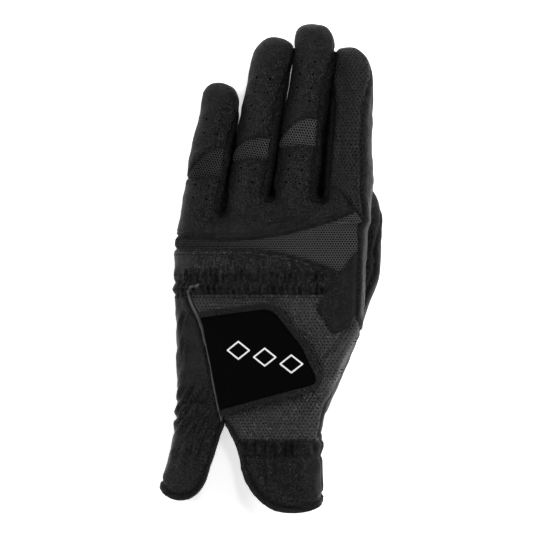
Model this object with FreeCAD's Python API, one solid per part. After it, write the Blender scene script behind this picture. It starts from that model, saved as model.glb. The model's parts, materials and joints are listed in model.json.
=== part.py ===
"""Left-hand sport glove, resting palm down on its little-finger edge and its thumb.

Every leather panel, insert, elastic, pad and binding is a separate solid in parts/NODE.step.
The hand is modelled flat in a hand frame (X to the index side, Y to the fingertips, Z out of
the back, origin on the palm plane), then rolled about Y so that the index side stands over the
thumb, and moved so that the row's origin is the middle of the base of its box.
All lengths are millimetres and all angles are degrees.
"""

import FreeCAD
import Part
import math
import os

V = FreeCAD.Vector
X_AXIS, Y_AXIS, Z_AXIS = V(1, 0, 0), V(0, 1, 0), V(0, 0, 1)

# ---- driving dimensions -------------------------------------------------------------------
LEATHER = 1.2  # wall of leather with its lining
ROLL = 13.0  # how far the index side is rolled up over the thumb
ORIGIN_SHIFT = V(0.9, -1.0, 10.35)  # hand frame's origin in the row frame, after the roll
BODY_GAP = 0.3  # clear space between two bodies at a fold
HAND_HEIGHT = 25.0
HAND_CORNER = 9.0
EDGE_BAND = 8.0  # how far the side walls reach in from the hand's edges
BIG = 400.0

# outline of the hand: station along Y, left edge, right edge, height of the back
HAND_STATIONS = (
    (42.0, -40.5, 50.5, 20.0),
    (15.0, -45.5, 47.5, 24.0),
    (-25.0, -44.5, 46.0, HAND_HEIGHT),
    (-58.0, -43.5, 30.5, HAND_HEIGHT),
    (-84.0, -46.0, 23.5, HAND_HEIGHT),
    (-117.0, -55.0, 24.2, HAND_HEIGHT),
)

# finger: root X and Y, lean to the right, droop of each half, lengths, widths and heights
FINGERS = {
    "little": dict(root=(-31.6, 29.0), lean=8.0, droop=(1.5, 3.0), lengths=(25.5, 36.5),
                   widths=(20.6, 19.4, 17.0), heights=(17.5, 16.0, 12.5)),
    "ring": dict(root=(-9.2, 36.5), lean=7.6, droop=(3.0, 6.5), lengths=(26.5, 50.0),
                 widths=(21.4, 20.6, 18.6), heights=(18.5, 17.0, 13.5)),
    "middle": dict(root=(14.0, 37.0), lean=5.1, droop=(4.0, 9.0), lengths=(31.0, 51.0),
                   widths=(22.6, 20.6, 18.2), heights=(18.5, 17.5, 14.0)),
    "index": dict(root=(38.6, 36.0), lean=-0.1, droop=(5.0, 13.0), lengths=(24.5, 46.8),
                  widths=(22.4, 20.4, 17.6), heights=(18.5, 17.0, 13.5)),
}
FINGER_LIFT = 1.0  # underside of a finger root above the palm plane
TIP_ROUNDING = 0.25  # share of the outer half that the rounded fingertip takes
INSERT_LENGTH = 9.0
INSERT_THICKNESS = 0.8
INSERT_CLEARANCE = 0.35  # between an insert and the finger's wall under it

# thumb, which lies level on the floor: positions in the row frame before the origin shift
THUMB_ROOT = V(30.6, -28.0, 0.3)
THUMB_LEANS = (20.5, 4.0)
THUMB_LENGTHS = (31.0, 33.0)
THUMB_WIDTHS = (22.0, 20.4, 18.0)
THUMB_HEIGHTS = (15.4, 15.0, 12.8)
GUSSET_START = V(11.0, -66.0, 14.0)
GUSSET_WIDTHS = (28.0, 22.0)
GUSSET_HEIGHTS = (22.0, 15.4)

# the wedge opening in the back of the cuff and the notch in the palm's hem
SLIT_TOP = V(-33.5, -12.0, 0)
SLIT_BOTTOM = V(-19.5, -76.0, 0)
SLIT_WIDTH = 1.6
LEFT_LOBE = ((-20.4, -70.0), (-21.6, -82.0), (-34.5, -112.4), (-57.0, -112.4), (-57.0, -70.0))
LEFT_LOBE_RADII = (1.0, 30.0, 11.0, 13.0, 1.0)
RIGHT_LOBE = ((-20.6, -70.0), (-12.2, -86.0), (-9.5, -102.0), (1.0, -116.9), (29.5, -116.9),
              (29.5, -70.0))
RIGHT_LOBE_RADII = (1.0, 14.0, 20.0, 13.0, 12.0, 1.0)
CUFF_BINDING = 2.2
PALM_NOTCH_SHIFTS = (-5.5, -3.0)  # plan shift of the lobes' inner edges on the palm side

# closure tab, on the flat of the back
TAB_ROOT_TOP = V(-30.2, -20.9, 0)
TAB_ROOT_BOTTOM = V(-18.7, -72.8, 0)
TAB_CORNERS = (V(0.5, -16.8, 0), V(11.8, -22.5, 0), V(34.2, -52.6, 0),
               V(34.8, -58.6, 0), V(30.0, -62.4, 0))
TAB_THICKNESS = 1.4
TAB_BINDING = 3.0
HOOK_THICKNESS = 0.8
LOOP_THICKNESS = 0.8
EMBLEM_THICKNESS = 0.5
EMBLEM_CENTRE = V(3.0, -42.2, 0)
EMBLEM_STEP = V(13.0, -3.2, 0)
EMBLEM_REACH = 5.4
EMBLEM_LINE = 1.1
PAD_GAP = 0.3


# ---- frames ---------------------------------------------------------------------------------
def rotation(axis, degrees):
    """Placement that turns about an axis through the origin."""
    return FreeCAD.Placement(V(0, 0, 0), FreeCAD.Rotation(axis, degrees))


def moved(vector):
    """Placement that only moves."""
    return FreeCAD.Placement(vector, FreeCAD.Rotation())


HAND_TO_ROW = moved(ORIGIN_SHIFT).multiply(rotation(Y_AXIS, -ROLL))
FLOOR_TO_ROW = moved(V(ORIGIN_SHIFT.x, ORIGIN_SHIFT.y, 0))
ROW_TO_HAND = HAND_TO_ROW.inverse()


def segment_frames(root, lean, pitches, first_length):
    """Frames of a finger's two halves, each with its origin on the underside at its fold."""
    base = moved(root).multiply(rotation(Z_AXIS, -lean)).multiply(rotation(X_AXIS, -pitches[0]))
    bend = rotation(X_AXIS, -(pitches[1] - pitches[0]))
    return base, base.multiply(moved(V(0, first_length, 0))).multiply(bend)


def placed(shape, placement):
    """Copy of a shape carried by a placement."""
    copy = shape.copy()
    copy.transformShape(placement.toMatrix())
    return copy


# ---- sections and lofts -----------------------------------------------------------------------
def ellipse_wire(y, width, height, floor=0.0):
    """Upright ellipse across Y whose lowest point is at the given floor."""
    major, minor = max(width, height) / 2, min(width, height) / 2
    centre = V(0, y, floor + height / 2)
    across = X_AXIS if width >= height else Z_AXIS
    other = Z_AXIS if width >= height else X_AXIS
    ellipse = Part.Ellipse(centre + across * major, centre + other * minor, centre)
    return Part.Wire([ellipse.toShape()])


def rounded_wire(y, left, right, low, high, radius):
    """Upright rectangle across Y with round corners."""
    diagonal = radius * math.sqrt(0.5)
    points, middles = [], []
    corners = ((right, low, 1, -1), (right, high, 1, 1), (left, high, -1, 1), (left, low, -1, -1))
    for x, z, side_x, side_z in corners:
        centre = V(x - side_x * radius, y, z - side_z * radius)
        flat = centre + V(0, 0, side_z * radius)
        upright = centre + V(side_x * radius, 0, 0)
        first, second = (flat, upright) if side_x == -side_z else (upright, flat)
        points.append((first, second))
        middles.append(centre + V(side_x * diagonal, 0, side_z * diagonal))
    edges = []
    for i, (first, second) in enumerate(points):
        edges.append(Part.Arc(first, middles[i], second).toShape())
        edges.append(Part.LineSegment(second, points[(i + 1) % 4][0]).toShape())
    return Part.Wire(edges)


def prism(points, low, high):
    """Upright solid over a closed outline of points in the XY plane."""
    loop = [V(p.x, p.y, low) for p in points]
    return Part.Face(Part.makePolygon(loop + loop[:1])).extrude(V(0, 0, high - low))


def block(x0, x1, y0, y1, z0, z1):
    """Box between two corners."""
    return Part.makeBox(x1 - x0, y1 - y0, z1 - z0, V(x0, y0, z0))


def rounded_outline(corners, radii, low, high):
    """Upright solid whose outline's corners are rounded, each by its own radius."""
    count, edges, ends = len(corners), [], []
    for i, corner in enumerate(corners):
        back = (corners[i - 1] - corner).normalize()
        ahead = (corners[(i + 1) % count] - corner).normalize()
        half = back.getAngle(ahead) / 2
        reach = radii[i] / math.tan(half)
        centre = corner + (back + ahead).normalize() * (radii[i] / math.sin(half))
        middle = centre + (corner - centre).normalize() * radii[i]
        ends.append((corner + back * reach, middle, corner + ahead * reach))
    for i, (first, middle, second) in enumerate(ends):
        edges.append(Part.Arc(first, middle, second).toShape())
        edges.append(Part.LineSegment(second, ends[(i + 1) % count][0]).toShape())
    face = Part.Face(Part.Wire(edges))
    face.translate(V(0, 0, low))
    return face.extrude(V(0, 0, high - low))


# ---- fingers ----------------------------------------------------------------------------------
def tube_solid(y0, y1, widths, heights, inset=0.0):
    """Tapered elliptical bar from y0 to y1, drawn in by inset all round."""
    wires = [ellipse_wire(y, w - 2 * inset, h - 2 * inset, inset)
             for y, w, h in ((y0, widths[0], heights[0]), (y1, widths[1], heights[1]))]
    return Part.makeLoft(wires, True, True)


def tip_solid(y0, length, widths, heights, inset=0.0):
    """Tapered elliptical bar that ends in a rounded fingertip."""
    length = length - inset
    dome = length * TIP_ROUNDING
    wires = []
    for share in (y0 / length, 0.25, 0.5, 1 - TIP_ROUNDING):
        wires.append((share * length, share, 1.0))
    for angle in (25, 45, 62, 76, 86):
        turn = math.radians(angle)
        y = length - dome + dome * math.sin(turn)
        wires.append((y, y / length, math.cos(turn) ** 0.66))
    sections = []
    for y, share, shrink in wires:
        width = (widths[0] + (widths[1] - widths[0]) * share - 2 * inset) * shrink
        height = (heights[0] + (heights[1] - heights[0]) * share - 2 * inset) * shrink
        middle = (heights[0] + (heights[1] - heights[0]) * share) / 2
        sections.append(ellipse_wire(y, width, height, middle - height / 2))
    return Part.makeLoft(sections, True, False)


def wedge(corner_x, corner_z, middle_z, side):
    """Long wedge from a tube's axis out through one of its four walls."""
    reach = 6.0
    far_x, far_z = corner_x * reach, corner_z * reach
    ends = {"back": ((-far_x, far_z), (far_x, far_z)), "palm": ((far_x, -far_z), (-far_x, -far_z)),
            "left": ((-far_x, -far_z), (-far_x, far_z)), "right": ((far_x, far_z), (far_x, -far_z))}
    (x0, z0), (x1, z1) = ends[side]
    loop = [V(0, -BIG / 4, middle_z), V(x0, -BIG / 4, middle_z + z0), V(x1, -BIG / 4, middle_z + z1)]
    return Part.Face(Part.makePolygon(loop + loop[:1])).extrude(V(0, BIG / 2, 0))


def tube_walls(shell, width, height):
    """The back, palm and paired side walls of a hollow finger half."""
    cut = {side: shell.common(wedge(width / 2, height / 2, height / 2, side))
           for side in ("back", "palm", "left", "right")}
    return {"back": cut["back"], "palm": cut["palm"],
            "side_walls": Part.makeCompound([cut["left"], cut["right"]])}


def fold_cutter(frame, width):
    """Block that clears everything beyond a fold, with the gap between the two bodies."""
    cutter = block(-width / 2, width / 2, -BODY_GAP / 2, BIG / 2, -BIG / 4, BIG / 4)
    return placed(cutter, frame)


def hollow_finger(name, frames, lengths, widths, heights):
    """Nodes of one finger: walls of its base half and of its tip half, in the given frames."""
    base_frame, tip_frame = frames
    spare = 4.0
    taper = (lengths[0] + spare) / lengths[0]
    end_w = widths[0] + (widths[1] - widths[0]) * taper
    end_h = heights[0] + (heights[1] - heights[0]) * taper
    start, end = BODY_GAP / 2, lengths[0] + spare
    outer = tube_solid(start, end, (widths[0], end_w), (heights[0], end_h))
    inner = tube_solid(start - 0.01, end + 0.01, (widths[0], end_w), (heights[0], end_h), LEATHER)
    nodes = {}
    beyond = placed(fold_cutter(tip_frame, 60.0), base_frame.inverse())
    base_walls = tube_walls(outer.cut(inner).cut(beyond), widths[0], heights[0])
    for wall, shape in base_walls.items():
        nodes[f"{name}_base_{wall}"] = placed(shape, base_frame)
    outer = tip_solid(start, lengths[1], widths[1:], heights[1:])
    inner = tip_solid(start - 0.01, lengths[1], widths[1:], heights[1:], LEATHER)
    for wall, shape in tube_walls(outer.cut(inner), widths[1], heights[1]).items():
        nodes[f"{name}_tip_{wall}"] = placed(shape, tip_frame)
    return nodes


def flex_insert(base_frame, length, widths, heights):
    """Strip of knitted mesh laid over the back at the middle fold, on the base half."""
    y0, y1 = length - INSERT_LENGTH, length - BODY_GAP
    start = INSERT_LENGTH / length
    width = widths[1] + (widths[0] - widths[1]) * start
    height = heights[1] + (heights[0] - heights[1]) * start
    clear = 2 * INSERT_CLEARANCE
    thick = clear + 2 * INSERT_THICKNESS
    outer = tube_solid(y0, y1, (width + thick,) * 2, (height + thick / 2,) * 2)
    inner = tube_solid(y0 - 1, y1 + 1, (width + clear,) * 2, (height + clear / 2,) * 2)
    strip = outer.cut(inner).common(wedge(width / 2, height / 2, height / 2, "back"))
    return placed(strip, base_frame)


# ---- hand -------------------------------------------------------------------------------------
def hand_solid(inset=0.0):
    """The hand as one solid, drawn in by inset and run past both ends when it is inset."""
    wires = [rounded_wire(y, left + inset, right - inset, inset, high - inset, HAND_CORNER - inset)
             for y, left, right, high in HAND_STATIONS]
    return Part.makeLoft(wires, True, True)


def knuckle_line(x):
    """Y of the seam between the finger backs and the knuckle band."""
    return 15.0 + 0.07 * x + 0.0034 * (x + 8.0) ** 2


def band_line(x):
    """Y of the band's lower seam, which falls away towards the index side."""
    return 10.5 - 0.0042 * max(x + 15.0, 0.0) ** 2


def strip_outline(upper, lower, x0, x1, step=6.0):
    """Outline between two seam lines over a range of X."""
    count = int((x1 - x0) / step)
    xs = [x0 + (x1 - x0) * i / count for i in range(count + 1)]
    return [V(x, upper(x), 0) for x in xs] + [V(x, lower(x), 0) for x in reversed(xs)]


def lobe(corners, radii, shift, inset):
    """Round-ended lobe of the cuff, with its inner edge shifted and its outline drawn in."""
    outline = [V(x + shift, y, 0) if -50 < x < 20 else V(x, y, 0) for x, y in corners]
    solid = rounded_outline(outline, [r * (0.6 if shift else 1.0) for r in radii], 0, 1)
    face = min(solid.Faces, key=lambda f: f.CenterOfMass.z)
    if inset:
        face = Part.Face(face.OuterWire.makeOffset2D(-inset))
    return face.extrude(V(0, 0, 60))


def cuff_region(inset=0.0):
    """What the leather of the back and of the palm may fill, down to the lobes of the cuff."""
    halves = []
    sides = (((0, 0), HAND_HEIGHT / 2, 40), (PALM_NOTCH_SHIFTS, -5, HAND_HEIGHT / 2))
    for shifts, low, high in sides:
        left = lobe(LEFT_LOBE, LEFT_LOBE_RADII, shifts[0], inset)
        right = lobe(RIGHT_LOBE, RIGHT_LOBE_RADII, shifts[1], inset)
        plan = left.fuse(right).fuse(block(-90, 90, -74, 90, 0, 60))
        plan.translate(V(0, 0, -10))
        halves.append(plan.common(block(-90, 90, -130, 90, low, high)))
    return halves[0].cut(slit()), halves[1]


def slit():
    """The narrow opening between the cuff flap and the rest of the back."""
    half = V(SLIT_WIDTH / 2, 0, 0)
    below = SLIT_BOTTOM + (SLIT_BOTTOM - SLIT_TOP) * 0.05
    return prism([SLIT_TOP - half, below - half, below + half, SLIT_TOP + half], HAND_HEIGHT / 2, 40)


def hand_walls(fingers, gusset_outer):
    """The four walls of the hand, open at the fingers, the thumb and the cuff."""
    shell = hand_solid().cut(hand_solid(LEATHER))
    for frames, spec in fingers.values():
        shell = shell.cut(fold_cutter(frames[0], spec["widths"][0] + 3.2))
    shell = shell.cut(block(-BIG / 4, BIG / 4, 38.5, BIG / 4, -BIG / 4, BIG / 4))
    shell = shell.cut(gusset_outer)
    left_edge = [V(left + EDGE_BAND, y, 0) for y, left, _, _ in HAND_STATIONS]
    right_edge = [V(right - EDGE_BAND, y, 0) for y, _, right, _ in HAND_STATIONS]
    left_block = prism(left_edge + [V(-90, -117, 0), V(-90, 42, 0)], -5, 40)
    right_block = prism(right_edge + [V(90, -117, 0), V(90, 42, 0)], -5, 40)
    back_edge, palm_edge = cuff_region()
    back_leather, palm_leather = cuff_region(CUFF_BINDING)
    back_binding = shell.common(back_edge.cut(back_leather))
    palm_binding = shell.common(palm_edge.cut(palm_leather))
    shell = shell.common(back_leather.fuse(palm_leather))
    middle = shell.cut(left_block).cut(right_block)
    upper = block(-90, 90, -130, 90, HAND_HEIGHT / 2, 40)
    split = SLIT_BOTTOM.x - 0.8
    return {"back": middle.common(upper), "palm_leather": middle.cut(upper),
            "little_edge_leather": shell.common(left_block),
            "index_edge_leather": shell.common(right_block),
            "cuff_flap_binding": back_binding.common(block(-90, split, -130, 90, 0, 40)),
            "cuff_back_binding": back_binding.common(block(split, 90, -130, 90, 0, 40)),
            "cuff_palm_binding": palm_binding}


def back_panels(back):
    """The back divided along its seams."""
    band = prism(strip_outline(knuckle_line, band_line, -80.0, 80.0), 0, 40)
    above = prism(strip_outline(lambda x: 80.0, knuckle_line, -80.0, 80.0), 0, 40)
    shirred = block(-80, 80, SLIT_TOP.y, 80, 0, 40).cut(band).cut(above)
    lower = block(-80, 80, -130, SLIT_TOP.y, 0, 40).cut(band)
    flap = prism([SLIT_TOP, SLIT_BOTTOM, V(SLIT_BOTTOM.x, -130, 0), V(-80, -130, 0),
                  V(-80, SLIT_TOP.y, 0)], 0, 40)
    regions = {"back_knuckle_leather": above, "knuckle_band_mesh": band,
               "back_shirred_leather": shirred, "back_cuff_flap": lower.common(flap),
               "back_perforated_leather": lower.cut(flap)}
    return {name: back.common(region) for name, region in regions.items()}


def webs(fingers):
    """Crotch gussets that close the hand between two neighbouring fingers."""
    names = list(fingers)
    found = {}
    for first, second in zip(names, names[1:]):
        a, b = FINGERS[first], FINGERS[second]
        x = (a["root"][0] + a["widths"][0] / 2 + b["root"][0] - b["widths"][0] / 2) / 2
        y0, y1 = min(a["root"][1], b["root"][1]) - 3.0, max(a["root"][1], b["root"][1]) - 0.3
        gusset = block(x - LEATHER / 2, x + LEATHER / 2, y0 - 3.0, y1, 2.0, 18.0)
        for frames, spec in fingers.values():
            gusset = gusset.cut(fold_cutter(frames[0], spec["widths"][0] + BODY_GAP))
        found[f"web_{first}_{second}"] = gusset.common(hand_solid(LEATHER + 0.05))
    return found


def elastics():
    """Elastic tapes sewn inside the back above the tab, and inside the cuff."""
    under = HAND_HEIGHT - LEATHER - 0.05
    rows = [block(-34.0, 24.0, y - 2.5, y + 2.5, under - 2.0, under - 1.0) for y in (-2.0, -9.5)]
    cuff = block(-2.0, 18.0, -92.0, -86.0, under - 1.6, under - 0.6)
    palm = block(-30.0, 16.0, -72.0, -66.0, LEATHER + 0.1, LEATHER + 1.1)
    return {"back_elastic": Part.makeCompound(rows), "cuff_elastic": cuff, "palm_elastic": palm}


def overlays():
    """Patches sewn on the outside: the grip chevron on the back and the pad on the palm."""
    chevron = prism([V(36.5, 0.0, 0), V(26.0, -15.0, 0), V(33.5, -28.0, 0), V(37.2, -24.0, 0),
                     V(37.2, -1.0, 0)], HAND_HEIGHT + 0.05, HAND_HEIGHT + 0.85)
    pad = rounded_outline([V(-34, -56, 0), V(6, -56, 0), V(6, -18, 0), V(-34, -6, 0)],
                          (9, 9, 9, 9), -0.85, -0.05)
    return {"grip_chevron": chevron, "palm_pad": pad}


# ---- tab --------------------------------------------------------------------------------------
def diamond_row(low):
    """Three outlined diamonds embroidered in a row along the tab."""
    rings = []
    for i in (-1, 0, 1):
        centre = EMBLEM_CENTRE + EMBLEM_STEP * i
        pair = []
        for reach in (EMBLEM_REACH, EMBLEM_REACH - EMBLEM_LINE * math.sqrt(2)):
            tall = reach * 0.75
            corners = [centre + V(reach, 0, 0), centre + V(0, tall, 0), centre - V(reach, 0, 0),
                       centre - V(0, tall, 0)]
            pair.append(prism(corners, low, low + EMBLEM_THICKNESS))
        rings.append(pair[0].cut(pair[1]))
    return Part.makeCompound(rings)


def tab_solids():
    """Closure tab with its binding, hook pad, emblem, and the loop pad it closes on."""
    outline = [TAB_ROOT_TOP, *TAB_CORNERS, TAB_ROOT_BOTTOM]
    radii = (0.3, 9.0, 12.0, 7.0, 4.0, 6.0, 0.3)
    centre = V(2.0, -43.0, 0)
    inner = [p + (centre - p).normalize() * TAB_BINDING * 1.25 for p in outline]
    inner[0] = TAB_ROOT_TOP + V(0.9, -TAB_BINDING, 0)
    inner[-1] = TAB_ROOT_BOTTOM + V(-0.5, TAB_BINDING, 0)
    low = HAND_HEIGHT + LOOP_THICKNESS + HOOK_THICKNESS + 2 * PAD_GAP
    inner_radii = (0.3, 7.0, 9.0, 5.0, 2.0, 4.0, 0.3)
    whole = rounded_outline(outline, radii, low, low + TAB_THICKNESS)
    face = rounded_outline(inner, inner_radii, low, low + TAB_THICKNESS)
    hook_outline = [V(2, -26, 0), V(9, -27, 0), V(26, -52, 0), V(25, -57, 0), V(-4, -62, 0)]
    loop_outline = [V(-14, -22, 0), V(8, -23, 0), V(27, -52, 0), V(25, -60, 0), V(-12, -66, 0)]
    hooks_low = low - HOOK_THICKNESS - 0.05
    hooks = rounded_outline(hook_outline, (3,) * 5, hooks_low, low - 0.05)
    loops_low = HAND_HEIGHT + 0.05
    loops = rounded_outline(loop_outline, (3,) * 5, loops_low, loops_low + LOOP_THICKNESS)
    emblem = diamond_row(low + TAB_THICKNESS + 0.02)
    return {"tab_binding": whole.cut(face), "tab_face": face, "tab_hooks": hooks,
            "tab_emblem": emblem, "loop_pad": loops}


# ---- the whole glove ----------------------------------------------------------------------------
def all_nodes():
    """Every node of the glove by name, in the row frame."""
    nodes = {}
    fingers = {}
    for name, spec in FINGERS.items():
        root = V(*spec["root"], FINGER_LIFT)
        frames = segment_frames(root, spec["lean"], spec["droop"], spec["lengths"][0])
        fingers[name] = (frames, spec)
        walls = hollow_finger(name, frames, spec["lengths"], spec["widths"], spec["heights"])
        nodes.update(walls)
        if name != "index":
            nodes[f"{name}_flex_insert"] = flex_insert(
                frames[0], spec["lengths"][0], spec["widths"], spec["heights"])

    thumb_frames = segment_frames(THUMB_ROOT, THUMB_LEANS[0], (0, 0), THUMB_LENGTHS[0])
    turn = rotation(Z_AXIS, THUMB_LEANS[0] - THUMB_LEANS[1])
    thumb_frames = (thumb_frames[0], thumb_frames[1].multiply(turn))
    to_hand = ROW_TO_HAND.multiply(FLOOR_TO_ROW)
    run = THUMB_ROOT - GUSSET_START
    lean = math.degrees(math.atan2(run.x, run.y))
    pitch = math.degrees(math.atan2(run.z, math.hypot(run.x, run.y)))
    aim = moved(GUSSET_START).multiply(rotation(Z_AXIS, -lean)).multiply(rotation(X_AXIS, pitch))
    reach = run.Length + 6.0
    gusset_outer = placed(tube_solid(0, reach, GUSSET_WIDTHS, GUSSET_HEIGHTS), aim)
    gusset_inner = tube_solid(-0.01, reach + 0.01, GUSSET_WIDTHS, GUSSET_HEIGHTS, LEATHER)
    gusset_inner = placed(gusset_inner, aim)
    gusset = gusset_outer.cut(gusset_inner).cut(fold_cutter(thumb_frames[0], 60.0))
    gusset = placed(gusset, to_hand).cut(hand_solid())
    above = max(gusset.Solids, key=lambda s: s.Volume)

    walls = hand_walls(fingers, placed(gusset_outer, to_hand))
    hand = back_panels(walls.pop("back"))
    hand.update(walls)
    hand["thumb_gusset"] = above
    hand.update(webs(fingers))
    hand.update(elastics())
    hand.update(overlays())
    hand.update(tab_solids())
    nodes.update(hand)
    rowed = {name: placed(shape, HAND_TO_ROW) for name, shape in nodes.items()}

    thumb = hollow_finger("thumb", thumb_frames, THUMB_LENGTHS, THUMB_WIDTHS, THUMB_HEIGHTS)
    rowed.update({name: placed(shape, FLOOR_TO_ROW) for name, shape in thumb.items()})
    return rowed


def main():
    """Builds every node and writes it to parts/."""
    os.makedirs("parts", exist_ok=True)
    box = FreeCAD.BoundBox()
    for name, shape in sorted(all_nodes().items()):
        solids = [s for s in shape.Solids if s.Volume > 0.5]
        print(f"{name}: {len(solids)} solids, {sum(s.Volume for s in solids):.0f} mm3,"
              f" valid {all(s.isValid() for s in solids)}")
        Part.makeCompound(solids).exportStep(f"parts/{name}.step")
        box.add(shape.BoundBox)
    print(f"box from {box.XMin:.2f} {box.YMin:.2f} {box.ZMin:.2f}"
          f" to {box.XMax:.2f} {box.YMax:.2f} {box.ZMax:.2f}")


main()
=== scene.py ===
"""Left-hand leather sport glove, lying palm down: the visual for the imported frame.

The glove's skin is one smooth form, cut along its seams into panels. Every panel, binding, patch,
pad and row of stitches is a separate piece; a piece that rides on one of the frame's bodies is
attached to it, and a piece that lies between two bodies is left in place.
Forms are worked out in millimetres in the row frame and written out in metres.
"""

import json
import logging
import math
from dataclasses import dataclass
from enum import Enum
from functools import partial
from typing import Callable, Iterable, Optional, Sequence, Union

import bpy
import numpy as np
from mathutils import Matrix, Vector, noise
from mathutils.kdtree import KDTree


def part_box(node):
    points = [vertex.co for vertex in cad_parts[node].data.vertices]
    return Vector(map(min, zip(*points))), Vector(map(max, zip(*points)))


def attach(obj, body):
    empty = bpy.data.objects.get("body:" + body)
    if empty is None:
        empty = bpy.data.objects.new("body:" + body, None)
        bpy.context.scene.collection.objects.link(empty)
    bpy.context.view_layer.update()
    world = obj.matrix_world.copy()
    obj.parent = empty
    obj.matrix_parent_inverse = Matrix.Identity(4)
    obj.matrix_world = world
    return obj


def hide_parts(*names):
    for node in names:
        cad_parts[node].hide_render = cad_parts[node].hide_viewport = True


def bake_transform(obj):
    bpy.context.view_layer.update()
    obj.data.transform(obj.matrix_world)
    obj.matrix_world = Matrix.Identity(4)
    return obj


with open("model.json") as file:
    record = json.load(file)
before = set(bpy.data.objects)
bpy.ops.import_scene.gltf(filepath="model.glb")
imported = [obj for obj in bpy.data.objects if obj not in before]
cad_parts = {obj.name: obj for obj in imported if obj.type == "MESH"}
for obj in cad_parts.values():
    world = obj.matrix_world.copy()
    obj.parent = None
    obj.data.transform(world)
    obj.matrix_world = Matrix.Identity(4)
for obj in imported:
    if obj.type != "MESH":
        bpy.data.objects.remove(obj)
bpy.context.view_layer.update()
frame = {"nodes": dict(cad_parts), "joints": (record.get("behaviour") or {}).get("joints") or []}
LOG = logging.getLogger("glove")
Array = np.ndarray
Field = Callable[[Array], Array]
Socket = bpy.types.NodeSocket
MM = 1000.0


# ---- small mathematics --------------------------------------------------------------------------
def smoothstep(values: Array) -> Array:
    """Eases from 0 to 1 as the values go from 0 to 1."""
    t = np.clip(values, 0.0, 1.0)
    return t * t * (3.0 - 2.0 * t)


def unit(vector: Array) -> Array:
    """The vector, or each row of it, at length 1."""
    return vector / np.maximum(np.linalg.norm(vector, axis=-1, keepdims=True), 1e-9)


def ripple(points: Array, scale: float, seed: float) -> Array:
    """Smooth noise between about -1 and 1 at each point, with features of the given size."""
    return np.array([noise.noise(Vector(p)) for p in points / scale + seed])


def round_corners(points: Sequence[tuple[float, float]], steps: int = 8) -> Array:
    """Smooth open or closed line through a few points, as a Catmull-Rom curve.

    Args:
        points: The points that the line runs through.
        steps: Pieces between two of them.

    Returns:
        Points of the line.
    """
    knots = np.array(points, float)
    ends = np.vstack([2 * knots[0] - knots[1], knots, 2 * knots[-1] - knots[-2]])
    line = []
    for a, b, c, d in zip(ends, ends[1:], ends[2:], ends[3:]):
        for i in range(steps):
            t = i / steps
            line.append(0.5 * (2 * b + (c - a) * t + (2 * a - 5 * b + 4 * c - d) * t ** 2
                               + (3 * b - a - 3 * c + d) * t ** 3))
    line.append(knots[-1])
    return np.array(line)


def fillet(corners: Sequence[tuple[float, float]], radii: Sequence[float], steps: int = 9) -> Array:
    """Closed outline whose corners are rounded, each by its own radius.

    Args:
        corners: Sharp corners in order.
        radii: Radius at each corner.
        steps: Pieces of each rounded corner.

    Returns:
        Points of the outline.
    """
    points = np.array(corners, float)
    outline = []
    for i, corner in enumerate(points):
        back, ahead = unit(points[i - 1] - corner), unit(points[(i + 1) % len(points)] - corner)
        half = math.acos(np.clip(back @ ahead, -1, 1)) / 2
        reach = radii[i] / math.tan(half)
        centre = corner + unit(back + ahead) * radii[i] / math.sin(half)
        first, last = corner + back * reach - centre, corner + ahead * reach - centre
        for step in range(steps + 1):
            outline.append(centre + radii[i] * unit(first + (last - first) * step / steps))
    return np.array(outline)


def distance_to_line(points: Array, line: Array, closed: bool = False) -> Array:
    """Distance of each 2-D point from a line of 2-D points.

    Args:
        points: The points.
        line: Ends of the line's pieces, in order.
        closed: Whether the last end joins the first.

    Returns:
        One distance for each point.
    """
    ends = np.roll(line, -1, axis=0) if closed else line[1:]
    starts = line if closed else line[:-1]
    best = np.full(len(points), 1e9)
    for a, b in zip(starts, ends):
        along = b - a
        t = np.clip((points - a) @ along / max(along @ along, 1e-12), 0, 1)
        best = np.minimum(best, np.linalg.norm(points - a - t[:, None] * along, axis=1))
    return best


def inside(points: Array, outline: Array) -> Array:
    """Whether each 2-D point is inside a closed outline.

    Args:
        points: The points.
        outline: Corners of the outline.

    Returns:
        One truth value for each point.
    """
    result = np.zeros(len(points), bool)
    for (x0, y0), (x1, y1) in zip(outline, np.roll(outline, -1, axis=0)):
        if y0 == y1:
            continue
        crosses = (points[:, 1] > min(y0, y1)) & (points[:, 1] <= max(y0, y1))
        result ^= crosses & (points[:, 0] < x0 + (points[:, 1] - y0) * (x1 - x0) / (y1 - y0))
    return result


def signed_distance(points: Array, outline: Array) -> Array:
    """Distance from a closed outline, negative inside it."""
    far = distance_to_line(points, outline, closed=True)
    return np.where(inside(points, outline), -far, far)


@dataclass(frozen=True)
class LocalFrame:
    """Right-handed frame with unit axes as rows, in millimetres."""

    origin: Array
    axes: Array

    def local(self, points: Array) -> Array:
        """Row-frame points in this frame."""
        return (points - self.origin) @ self.axes.T

    def row(self, points: Array) -> Array:
        """Points of this frame in the row frame."""
        return np.asarray(points, float) @ self.axes + self.origin

    def tilted(self, origin: Array, degrees: float) -> "LocalFrame":
        """Frame at another origin that is turned down about this frame's X axis.

        Args:
            origin: Origin of the new frame.
            degrees: How far it is turned down.

        Returns:
            The new frame.
        """
        angle = math.radians(degrees)
        x, y, z = self.axes
        ahead = y * math.cos(angle) - z * math.sin(angle)
        return LocalFrame(origin, np.array([x, ahead, np.cross(x, ahead)]))


def joint(name: str) -> dict:
    """The frame's joint of that name."""
    return next(j for j in frame["joints"] if j["name"] == name)


def joint_point(name: str) -> Array:
    """A joint's place in millimetres."""
    return np.array(joint(name)["pos_m"], float) * MM


def turned(degrees: float) -> Array:
    """Axes of a level frame whose Y leans to the right by an angle."""
    angle = math.radians(degrees)
    return np.array([[math.cos(angle), -math.sin(angle), 0], [math.sin(angle), math.cos(angle), 0],
                     [0, 0, 1.0]])


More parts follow.
